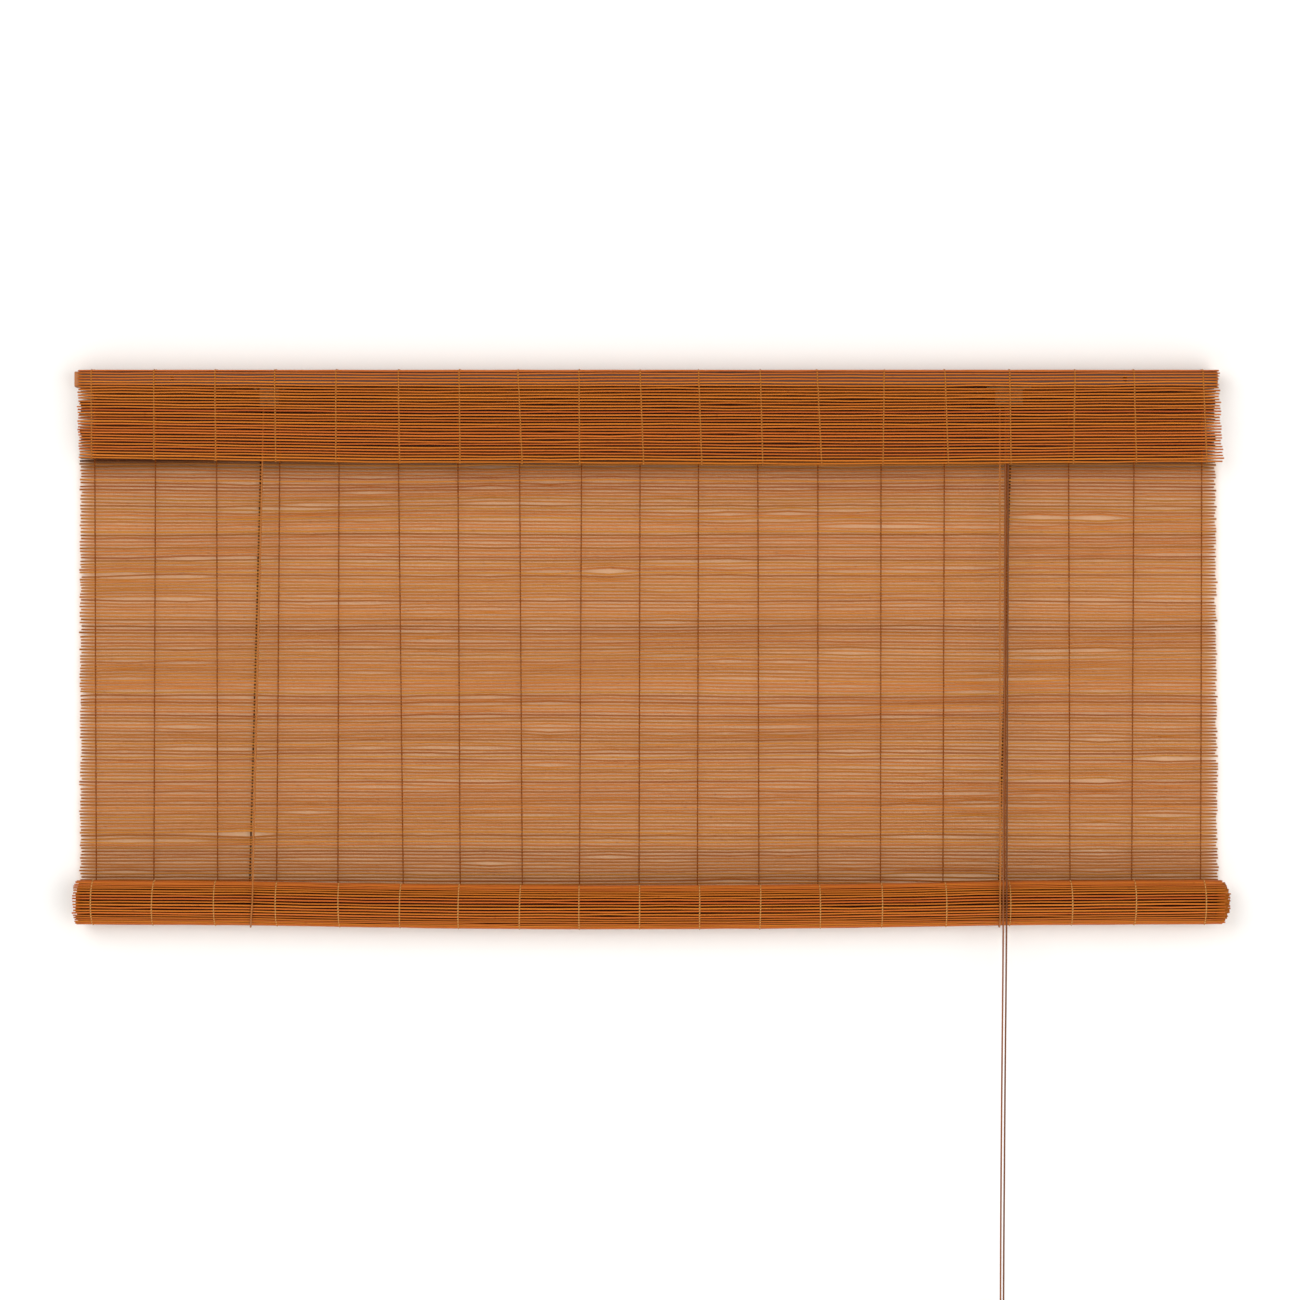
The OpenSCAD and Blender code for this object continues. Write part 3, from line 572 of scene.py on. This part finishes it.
left_free = [
    (370.8, -47.4, -549), (370.6, -47.4, -590), (370.2, -47.4, -640), (369.6, -47.4, -700),
    (369, -47.4, -765), (368.5, -47.4, -830), (368.1, -47.4, -895), (367.9, -47.4, -950),
    (367.9, -47.8, -968), (368.1, -48.6, -977), (369.3, -49, -982.6), (372.4, -49.1, -985.6),
    (376, -49.1, -987.4)]
right_free = [
    (374.3, -47.4, -549), (374, -47.4, -590), (373.6, -47.4, -640), (373, -47.4, -700),
    (372.4, -47.4, -765), (371.9, -47.4, -830), (371.4, -47.4, -895), (371.1, -47.4, -950),
    (371, -47, -968), (370.8, -46.2, -977), (369.6, -45.8, -982.6), (366.5, -45.7, -985.6),
    (362.9, -45.7, -987.4)]
left_tail = [
    (382.9, -58.1, -1000.6), (382.7, -57.6, -1009), (380.8, -56.4, -1018), (378.6, -55.6, -1025),
    (377.8, -55.4, -1031), (377.8, -55.4, -1044), (377.8, -55.4, -1057)]
right_tail = [
    (356, -36.7, -1000.6), (356.2, -37.2, -1009), (358.1, -38.4, -1018), (360.3, -39.2, -1025),
    (361.1, -39.4, -1031), (361.1, -39.4, -1044), (361.1, -39.4, -1057)]
lock_front = LOCK[0] + LOCK_R
left_run = [
    (lock_front, -17.5, -16.7), (lock_front, -17.5, -20.7), (375.4, -18.8, -33), (374.3, -27, -180),
    (372.8, -36, -340), (370.8, -47.4, -549)]
right_run = [
    (lock_front, -20.5, -16.7), (lock_front, -20.5, -20.7), (378.2, -19.6, -33), (377.4, -27, -180),
    (376, -36, -340), (374.3, -47.4, -549)]
left_cord = pull_cord("left", left_run, left_free, left_tail, (368.1, -53.6, -1000), -1, -1, left_braid)
right_cord = pull_cord("right", right_run, right_free, right_tail, (370.8, -41.2, -1000), 1, 1, right_braid)
for side, cord in (("left", left_cord), ("right", right_cord)):
    print(side, "free cord", round(line_length(cord[1]) * MM, 3), "m")

# %% [markdown]
# ## Tassels
# A tassel is turned on a lathe, so half its outline is spun round its axis. The outline goes down the
# outside and up through the recess that hides the knot and the bore above it, which closes the solid.
# A mesh cylinder with loops added would take as many steps and would have no bore.

# %% Tassels
def tassel(side):
    low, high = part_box(f"{side}_tassel")
    x, y = (low[0] + high[0]) / 2, (low[1] + high[1]) / 2
    belly, length = (high[0] - low[0]) / 2, high[2] - low[2]
    neck = belly * 0.56
    recess = length * 0.3
    outside = [(neck - 0.0004, length), (neck, length - 0.0006), (neck + 0.0009, length * 0.93),
               (neck + 0.0012, length * 0.87), (neck + 0.0008, length * 0.81), (neck, length * 0.77),
               (neck, length * 0.72)]
    for i in range(15):
        angle = math.radians(68 - 128 * i / 14)
        outside.append((belly * math.cos(angle) ** 0.8, length * (0.33 + 0.33 * math.sin(angle))))
    outside += [(belly * 0.55, length * 0.015), (belly * 0.5, 0)]
    inside = [(0.0031, 0), (0.0028, 0.0003), (0.0028, recess), (0.0012, recess), (0.0012, length)]
    bm = bmesh.new()
    verts = [bm.verts.new((x + r, y, low[2] + z)) for r, z in outside + inside]
    for a, b in zip(verts, verts[1:] + verts[:1]):
        bm.edges.new((a, b))
    bmesh.ops.spin(bm, geom=verts + bm.edges[:], cent=(x, y, 0), axis=(0, 0, 1), dvec=(0, 0, 0),
                   angle=2 * math.pi, steps=40, use_merge=True)
    bmesh.ops.remove_doubles(bm, verts=bm.verts, dist=1e-6)
    bmesh.ops.recalc_face_normals(bm, faces=bm.faces)
    piece = new_piece(f"{side}_turned_tassel", bm, tassel_wood)
    piece.data.set_sharp_from_angle(angle=math.radians(50))
    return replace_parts(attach(piece, "pull_cords"), f"{side}_tassel")


for side, cord in (("left", left_cord), ("right", right_cord)):
    piece, line, end_knot, band = cord
    tassel(side)

# %% [markdown]
# ## Sticks bound with thread
# Every stick bends a little between the threads that hold it, and its neighbours make room for it, so
# bright slits open where two sticks part. That irregularity is what makes the cloth look like split
# bamboo. One short stick mesh with a ring at each thread and one between threads is copied for every
# stick, and the rings are then moved. An array modifier would repeat one bend all the way down.
#
# The cloth is described flat first: how far along it each stick lies at each ring. A path then bends
# the flat cloth into place: straight down for the shade, over the rail for the valance, in a spiral
# for the roll.

# %% Helpers for woven cloth
THREADS, SPACING, OFF_MIDDLE = 19, 64.8, -1.5
thread_x = OFF_MIDDLE + SPACING * (np.arange(THREADS) - (THREADS - 1) / 2)
# The loom's threads crowd a little to the right of the middle
thread_x = thread_x + np.interp(np.arange(THREADS), [0, 5, 12, 17, 18], [0, -1.5, -13.5, -7, 1])
HALF = 600.0
STICK_W, STICK_T, THREAD_R = 1.9, 1.5, 0.45
mid_x = (thread_x[1:] + thread_x[:-1]) / 2
ring_x = np.concatenate([[-HALF], np.sort(np.concatenate([thread_x, mid_x])), [HALF]])


def stick_template(rings):
    """A six-sided stick along X, one unit long, with that many rings."""
    bm = bmesh.new()
    bmesh.ops.create_cone(bm, cap_ends=True, segments=6, radius1=1, radius2=1, depth=1,
                          matrix=Matrix.Rotation(math.radians(90), 4, "Y"))
    long_edges = [e for e in bm.edges if abs(e.verts[0].co.x - e.verts[1].co.x) > 0.5]
    if rings > 2:
        bmesh.ops.subdivide_edges(bm, edges=long_edges, cuts=rings - 2, use_grid_fill=True)
    mesh = bpy.data.meshes.new("stick_template")
    bm.to_mesh(mesh)
    bm.free()
    return mesh


def copy_sticks(name, count, centres, down, out, widths, thicknesses, material, tones):
    """count sticks on centres[stick, ring], with their sections along down and out, in millimetres."""
    rings = centres.shape[1]
    template = stick_template(rings)
    bm = bmesh.new()
    for _ in range(count):
        bm.from_mesh(template)
    piece = new_piece(name, bm, material)
    shape = np.array([v.co for v in template.vertices])
    at = np.rint((shape[:, 0] + 0.5) * (rings - 1)).astype(int)
    # Six corners by their angles: one points outwards, and flat sides face the neighbouring sticks
    corner = np.rint(np.arctan2(shape[:, 2], shape[:, 1]) / (math.pi / 3)) * math.pi / 3 + math.pi / 2
    across, along = np.sin(corner), np.cos(corner) / math.cos(math.pi / 6)
    verts = (centres[:, at] + along[None, :, None] * widths[:, None, None] / 2 * down[:, at]
             + across[None, :, None] * thicknesses[:, None, None] / 2 * out[:, at])
    piece.data.vertices.foreach_set("co", (verts * MM).astype(np.float32).ravel())
    own = piece.data.attributes.new("stick", "FLOAT", "POINT")
    own.data.foreach_set("value", np.repeat(tones, len(shape)).astype(np.float32))
    piece.data.update()
    bm = bmesh.new()
    bm.from_mesh(piece.data)
    bmesh.ops.recalc_face_normals(bm, faces=bm.faces)
    bm.to_mesh(piece.data)
    bm.free()
    bpy.data.meshes.remove(template)
    return piece


def spread(rng, count, pitch, bow, widths, wave, room, slit_mm):
    """How far along the cloth each stick lies at each ring, with room between neighbours."""
    rings = len(ring_x)
    run = (np.arange(count) + 0.5)[:, None] * pitch
    run = run + rng.normal(0, 0.1, (count, rings))
    # The threads hold a stick, so it bows between them, and less at its free ends
    free = np.zeros(rings)
    free[2:-1:2] = 1
    free[[0, -1]] = 0.3
    run = run + rng.normal(0, bow, (count, rings)) * free
    # Slits: the three sticks below one are pushed down and the three above it up
    push = np.array([[1], [0.6], [0.3]])
    for stick, ring in zip(rng.integers(1, count, count), rng.integers(0, rings // 2, count) * 2):
        slit, spans = rng.uniform(0.3, 1) * slit_mm, rng.integers(1, 3) * 2 - 1
        run[stick:stick + 3, ring:ring + spans] += slit * push[:count - stick]
        run[max(stick - 3, 0):stick, ring:ring + spans] -= slit * push[::-1][-min(stick, 3):]
    # Slow waves across the whole cloth
    for _ in range(6):
        kx, ki, phase = rng.uniform(1, 9), rng.uniform(0.05, 0.35), rng.uniform(0, 2 * math.pi)
        run = run + wave / 2 * np.sin(kx * ring_x / HALF + ki * np.arange(count)[:, None] + phase)
    # Sticks that have come too close part again, a little in each round
    need = (widths[1:] + widths[:-1])[:, None] / 2 + room
    for _ in range(60):
        close = np.minimum(run[1:] - run[:-1] - need, 0) / 2
        run[1:] -= close
        run[:-1] += close
    return run


def twined(name, centres, out, thicknesses, rings_used, material, drift):
    """Two strands at each thread line. They change sides between sticks, one in front of each."""
    paths = []
    radius = THREAD_R
    for k, ring in enumerate(rings_used):
        middle = centres[:, ring].copy()
        lean = drift[k, 0] + drift[k, 1] * np.linspace(-1, 1, len(middle))
        middle[:, 0] += lean
        lift = (thicknesses / 2 + radius)[:, None] * out[:, ring]
        for strand in (0, 1):
            side = np.where((np.arange(len(middle)) + strand) % 2 == 0, 1.0, -1.0)[:, None]
            over_stick = middle + side * lift
            between = (middle[1:] + middle[:-1]) / 2
            between[:, 0] += radius * 0.8 * side[1:, 0]
            path = np.empty((2 * len(middle) - 1, 3))
            path[0::2], path[1::2] = over_stick, between
            first, end = 2 * path[0] - path[1], 2 * path[-1] - path[-2]
            paths.append(np.vstack([first, path, end]) * MM)
    data = bpy.data.curves.new(name, "CURVE")
    data.dimensions = "3D"
    data.bevel_depth = radius * MM
    data.bevel_resolution = 0
    data.use_fill_caps = True
    for path in paths:
        spline = data.splines.new("POLY")
        spline.points.add(len(path) - 1)
        spline.points.foreach_set("co", np.c_[path, np.ones(len(path))].ravel())
    line = bpy.data.objects.new(name + "_line", data)
    bpy.context.scene.collection.objects.link(line)
    bm = bmesh.new()
    bm.from_mesh(bpy.data.meshes.new_from_object(line))
    bpy.data.objects.remove(line)
    bmesh.ops.recalc_face_normals(bm, faces=bm.faces)
    return new_piece(name, bm, material)


def ragged(rng, centres, left, right, left_mm=0.7, right_mm=0.7):
    """Sets the sticks' ends, each cut a little short or long."""
    centres[:, 0, 0] = left + rng.normal(0, left_mm, len(centres))
    centres[:, -1, 0] = right + rng.normal(0, right_mm, len(centres))


def stick_sizes(rng, count, narrow, wide, thin, thick):
    """Widths and thicknesses, as shares of a full stick's."""
    return rng.uniform(narrow, wide, count) * STICK_W, rng.uniform(thin, thick, count) * STICK_T


def thread_drift(rng, mean, aside, lean):
    """How far each thread line stands aside, and how far it leans over its run."""
    return np.stack([rng.normal(mean, aside, THREADS), rng.normal(0, lean, THREADS)], 1)

# %% [markdown]
# ## Shade
# The shade hangs straight down behind the rail and the roll. Its sticks lie further apart than in the
# rest, because the cloth is stretched by the roll's weight, so the wall shows between them. It is kept
# with the rail, as the cord falls are.

# %% Shade
rng = np.random.default_rng(11)
SHADE_PITCH = 3.35
shade_top, shade_bottom = shade_high[2] / MM, shade_low[2] / MM
shade_y = (shade_low[1] + shade_high[1]) / 2 / MM
shade_count = round((shade_top - shade_bottom - STICK_W) / SHADE_PITCH) + 1
lines = np.arange(THREADS) * 2 + 1


def flat_axes(shape):
    """Down and out for cloth that hangs straight."""
    down, out = np.zeros(shape), np.zeros(shape)
    down[..., 2], out[..., 1] = -1, -1
    return down, out


widths, thicknesses = stick_sizes(rng, shade_count, 0.86, 1.04, 0.88, 1.05)
run = spread(rng, shade_count, SHADE_PITCH, 0.32, widths, 0.6, 0.08, 0.95)
shade_centres = np.empty((shade_count, len(ring_x), 3))
shade_centres[..., 0] = ring_x
shade_centres[..., 1] = shade_y + rng.normal(0, 0.08, run.shape)
shade_centres[..., 2] = shade_top - STICK_W / 2 + SHADE_PITCH / 2 - run
ragged(rng, shade_centres, -HALF, HALF + np.linspace(-2, 1, shade_count))
down, out = flat_axes(shade_centres.shape)
shade_sticks = copy_sticks("shade_woven_sticks", shade_count, shade_centres, down, out, widths, thicknesses,
                           shade_bamboo, rng.beta(1.6, 1.6, shade_count))
shade_threads = twined("shade_twined_threads", shade_centres, out, thicknesses, lines, thread_cotton,
                       thread_drift(rng, 0, 0.7, 1.2))
for piece, node_name in ((shade_sticks, "shade_sticks"), (shade_threads, "shade_threads")):
    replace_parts(shrinks(piece), node_name)
print("shade:", shade_count, "sticks,", len(shade_sticks.data.polygons), "faces, threads",
      len(shade_threads.data.polygons))

# %% [markdown]
# ## Valance
# The valance lies on top of the rail, turns down over its front edge and hangs free. Its lower edge
# isn't quite level, so the run of the cloth is a little shorter at the left. The path is one flat
# stretch, a quarter circle and a straight fall, which leans a little to the right.

# %% Valance
VALANCE_PITCH = 3.1
RAIL_ROUND = 3  # radius of the rail's front edge
valance_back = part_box("valance_sticks")[1][1] / MM
edge_y, edge_z = rail_low[1] / MM + RAIL_ROUND, rail_high[2] / MM - RAIL_ROUND
corner_r = RAIL_ROUND + 0.35 + STICK_T / 2
top_run = valance_back - edge_y
corner_run = corner_r * math.pi / 2
lower_edge = np.interp(ring_x, [-600, -250, 200, 600], [-84, -89, -90, -88])
total_run = top_run + corner_run + edge_z - lower_edge
valance_count = 38
FALL = 95  # about how far the valance hangs down


def over_rail(run):
    """Centre line of the valance, its direction and its outward side, for distances along it."""
    flat = np.clip(run, None, top_run)
    bend = np.clip(run - top_run, 0, corner_run) / corner_run * math.pi / 2
    fall = np.clip(run - top_run - corner_run, 0, None)
    y = valance_back - flat - corner_r * np.sin(bend)
    z = edge_z + corner_r * np.cos(bend) - fall
    down = np.stack([0 * bend, -np.cos(bend), -np.sin(bend)], -1)
    out = np.stack([0 * bend, -np.sin(bend), np.cos(bend)], -1)
    return np.stack([0 * y, y, z], -1), down, out


rng = np.random.default_rng(5)
widths, thicknesses = stick_sizes(rng, valance_count, 0.76, 0.92, 0.9, 1.05)
run = spread(rng, valance_count, VALANCE_PITCH, 0.2, widths, 0.3, 0.6, 0.35)
run = run / (valance_count * VALANCE_PITCH) * total_run
run = np.maximum(run, STICK_W / 2)
valance_centres, down, out = over_rail(run)
valance_centres += out * rng.uniform(0, 0.25, run.shape)[..., None]
# The further a stick hangs below the rail's edge, the further it stands to the right
slant = (edge_z - np.minimum(valance_centres[..., 2], edge_z)) / FALL
valance_centres[..., 0] = ring_x + slant * (2 + 1.5 * ring_x / HALF)
rng.standard_normal(2 * valance_count)  # not used; it keeps the draws below in their places
ragged(rng, valance_centres, -HALF + 1 + 2 * slant[:, 0], HALF - 2 + 5 * slant[:, -1], 0.7, 0.8)
valance_sticks = copy_sticks("valance_woven_sticks", valance_count, valance_centres, down, out, widths,
                             thicknesses, front_bamboo, rng.beta(3, 3, valance_count))
valance_threads = twined("valance_twined_threads", valance_centres, out, thicknesses, lines,
                         valance_cotton, thread_drift(rng, 0, 0.8, 1.2))
for piece, node_name in ((valance_sticks, "valance_sticks"), (valance_threads, "valance_threads")):
    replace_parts(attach(piece, "headrail"), node_name)
print("valance:", valance_count, "sticks,", len(valance_sticks.data.polygons), "faces")

# %% [markdown]
# ## Roll
# The rest of the shade is wound on a rod in about seven turns. The outer turn has the same bent sticks
# and threads as the shade. The turns under it only show through its slits and at its ends, so their
# sticks are straight. The turns have slid past each other: the inner ones stand out at the right. The
# roll rests in the two cord loops and bends a little between them.

# %% Roll
rng = np.random.default_rng(23)
LAYER = 2.2  # from one turn to the next
OUTER_TURN = roll_r - 0.6
LOOPS_X, SAG, END_RISE = (-414, 369), 4.2, 2.0
INNER_RINGS, CORE_R = 9, 7


def roll_bend(x):
    """How far the roll lies above its straight axis, in millimetres."""
    middle, half = sum(LOOPS_X) / 2, (LOOPS_X[1] - LOOPS_X[0]) / 2
    away = np.abs(np.asarray(x) - middle) / half
    return SAG * (np.minimum(away, 1) ** 2 - 1) + END_RISE * np.maximum(away - 1, 0)


def wound(turn, x):
    """Place, direction and outward side of the cloth after a number of turns, from the back downwards."""
    radius = OUTER_TURN - LAYER * turn
    angle = math.radians(17) - 2 * math.pi * turn + 0 * x
    y, z = roll_y + radius * np.cos(angle), roll_z + radius * np.sin(angle) + roll_bend(x)
    down = np.stack([0 * y, np.sin(angle), -np.cos(angle)], -1)
    out = np.stack([0 * y, np.cos(angle), np.sin(angle)], -1)
    return np.stack([x + 0 * y, y, z], -1), down, out


mean_r = OUTER_TURN - LAYER / 2
outer_count = round(2 * math.pi * mean_r / VALANCE_PITCH)
widths, thicknesses = stick_sizes(rng, outer_count, 0.74, 0.9, 0.9, 1.05)
run = spread(rng, outer_count, VALANCE_PITCH, 0.22, widths, 0.35, 0.6, 0.35)
roll_centres, down, out = wound(run / (2 * math.pi * mean_r), ring_x[None, :])
roll_centres += out * rng.normal(0, 0.12, run.shape)[..., None]
facing = np.clip(-out[:, 0, 1], 0, 1)  # 1 for the sticks at the front of the roll
ragged(rng, roll_centres, -HALF - 0.5 - 2 * facing, HALF + 2 + 2.5 * facing, 0.7, 0.8)
roll_sticks = copy_sticks("roll_outer_sticks", outer_count, roll_centres, down, out, widths, thicknesses,
                          front_bamboo, rng.beta(3, 3, outer_count))
roll_threads = twined("roll_twined_threads", roll_centres, out, thicknesses, lines, front_cotton,
                      thread_drift(rng, 0.5, 0.8, 0.6))

turn, turns = 1.0, []
while OUTER_TURN - LAYER * turn > CORE_R + LAYER / 2:
    turns.append(turn)
    turn += VALANCE_PITCH / (2 * math.pi * (OUTER_TURN - LAYER * turn))
turns = np.array(turns)
inner_x = np.linspace(-HALF, HALF, INNER_RINGS)
inner_centres, down, out = wound(turns[:, None], inner_x[None, :])
depth_in = (turns - 1) / (turns[-1] - 1)
ragged(rng, inner_centres, -HALF + 6 * depth_in ** 0.7, HALF + 3 + 7 * depth_in ** 0.6)
# The inner turns take the painted shade finish
inner_sticks = copy_sticks("roll_inner_sticks", len(turns), inner_centres, down, out,
                           np.full(len(turns), STICK_W * 1.05), np.full(len(turns), STICK_T * 1.1),
                           inner_bamboo_painted_shade, rng.beta(3, 3, len(turns)))

rod_low, rod_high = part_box("bottom_rod")
rod_r = (rod_high[2] - rod_low[2]) / 2
bm = bmesh.new()
bmesh.ops.create_cone(bm, cap_ends=True, segments=32, radius1=rod_r, radius2=rod_r,
                      depth=rod_high[0] - rod_low[0],
                      matrix=Matrix.Rotation(math.radians(90), 4, "Y"))
rod_edges = [e for e in bm.edges if abs(e.verts[0].co.x - e.verts[1].co.x) > 0.5]
bmesh.ops.subdivide_edges(bm, edges=rod_edges, cuts=9, use_grid_fill=True)
rim = [e for e in bm.edges if any(len(f.verts) > 4 for f in e.link_faces)]
bmesh.ops.bevel(bm, geom=rim, offset=0.0005, offset_type="OFFSET", affect="EDGES", segments=2,
                profile=0.5, material=-1)
for vert in bm.verts:
    vert.co += Vector(((rod_low[0] + rod_high[0]) / 2, roll_y * MM, roll_z * MM))
    vert.co.z += float(roll_bend(vert.co.x / MM)) * MM
rod = new_piece("bottom_lath_rod", bm, rail_wood)
rod.data.set_sharp_from_angle(angle=math.radians(40))
for piece in (roll_sticks, roll_threads, inner_sticks):
    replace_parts(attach(piece, "roll"), "rolled_shade")
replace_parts(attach(rod, "roll"), "bottom_rod")
print("roll:", outer_count, "outer sticks,", len(turns), "inner sticks in", round(turns[-1], 1), "turns")

# %% [markdown]
# ## Wall, floor and light
# The blind hangs close to a white wall, which shows between its sticks, and there is a pale floor
# below. Large soft lights from the front, a little stronger at the left, leave only a faint shadow
# round it. The wall's paint carries painted light and shade as well: a faint warm painted shadow round
# the blind, a warm glow behind the shade that stands for light bounced back and forth between the
# stained cloth and the wall, more often than a few bounces of light can follow, and a deep painted
# shade behind the valance. The glow and the shadow end at the roll, and rise with it. The wall can't
# be seen from behind so that the back of the blind can be looked at.

# %% Stage and lights
def plain(name, code, roughness):
    material, tree, shader = finish_named(name, Roughness=roughness)
    shader.inputs["Base Color"].default_value = linear(code)
    return material, tree, shader


def plane(name, size, matrix, material):
    bm = bmesh.new()
    bmesh.ops.create_grid(bm, x_segments=1, y_segments=1, size=size, matrix=matrix)
    piece = new_piece(name, bm, material)
    return piece


def soft_patch(tree, places, half, top, bottom, soft):
    """1 on the wall from top down to bottom, fading to 0 over soft metres. Each height has its own place."""
    aside = maths(tree, "SUBTRACT", maths(tree, "ABSOLUTE", places[0].outputs["X"]), half)
    above = maths(tree, "SUBTRACT", places[0].outputs["Z"], top)
    below = maths(tree, "SUBTRACT", bottom, places[1].outputs["Z"])
    most = maths(tree, "MAXIMUM", maths(tree, "MAXIMUM", aside, above), below)
    return map_range(tree, most, -soft, soft, 1.0, 0.0, interpolation_type="SMOOTHSTEP")


WALL_Y, WALL_WHITE = 7.5 * MM, "#F7F6F4"
wall_paint, tree, shader = plain("white_wall_paint", WALL_WHITE, 0.9)
roll_place = bpy.data.objects.new("roll_place", None)  # rises with the roll and doesn't turn
bpy.context.scene.collection.objects.link(roll_place)
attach(roll_place, "cord_bights")
still = add(tree, "SeparateXYZ", {0: add(tree, "TexCoord").outputs["Object"]})
rising = add(tree, "SeparateXYZ", {0: add(tree, "TexCoord", object=roll_place).outputs["Object"]})
wall_painted_light = linear(WALL_WHITE)
# Painted light and shade on the wall: a faint warm shadow, a warm bounce glow behind the shade, dark shade
# behind the valance
for foot, half, top, bottom, soft, code in ((rising, 0.6, 0.02, -0.57, 0.05, "#FBF2EA"),
                                            (rising, 0.597, -0.002, -0.538, 0.01, "#EAC49A"),
                                            (still, 0.592, 0.002, -0.092, 0.012, "#7C4014")):
    painted_light_mask = soft_patch(tree, (still, foot), half, top, bottom, soft)
    wall_painted_light = mix_colours(tree, painted_light_mask, wall_painted_light, linear(code))
connect(tree, wall_painted_light, shader, "Base Color")
behind = add(tree, "NewGeometry").outputs["Backfacing"]
clear = add(tree, "BsdfTransparent").outputs[0]
one_sided = add(tree, "MixShader", {0: behind, 1: shader.outputs[0], 2: clear})
tree.links.new(one_sided.outputs[0], tree.nodes["Material Output"].inputs["Surface"])
upright = Matrix.Translation((0, WALL_Y, 0.6)) @ Matrix.Rotation(math.radians(90), 4, "X")
wall = plane("wall", 3.0, upright, wall_paint)
wall.visible_shadow = False
floor_paint = plain("pale_floor", "#EDEBE8", 0.7)[0]
plane("floor", 6.0, Matrix.Translation((0, 0, -2.0)), floor_paint)


def area_light(name, place, aim, size, power):
    data = bpy.data.lights.new(name, "AREA")
    data.shape = "RECTANGLE"
    data.size, data.size_y, data.energy = size[0], size[1], power
    lamp = bpy.data.objects.new(name, data)
    lamp.location = place
    lamp.rotation_euler = (Vector(aim) - Vector(place)).to_track_quat("-Z", "Y").to_euler()
    bpy.context.scene.collection.objects.link(lamp)


area_light("key", (-1.6, -3.6, 0.8), (0, 0, -0.3), (2.6, 2.6), 61)
area_light("fill", (1.8, -3.6, -0.7), (0, 0, -0.3), (2.6, 2.6), 50)
area_light("back", (0.8, 3.0, 0.8), (0, 0, -0.4), (2.0, 2.0), 30)
world = bpy.data.worlds.new("room")
bpy.context.scene.world = world
world.use_nodes = True
world.node_tree.nodes["Background"].inputs["Color"].default_value = (1, 1, 1, 1)
world.node_tree.nodes["Background"].inputs["Strength"].default_value = 0.62
bpy.context.scene.view_settings.view_transform = "Standard"
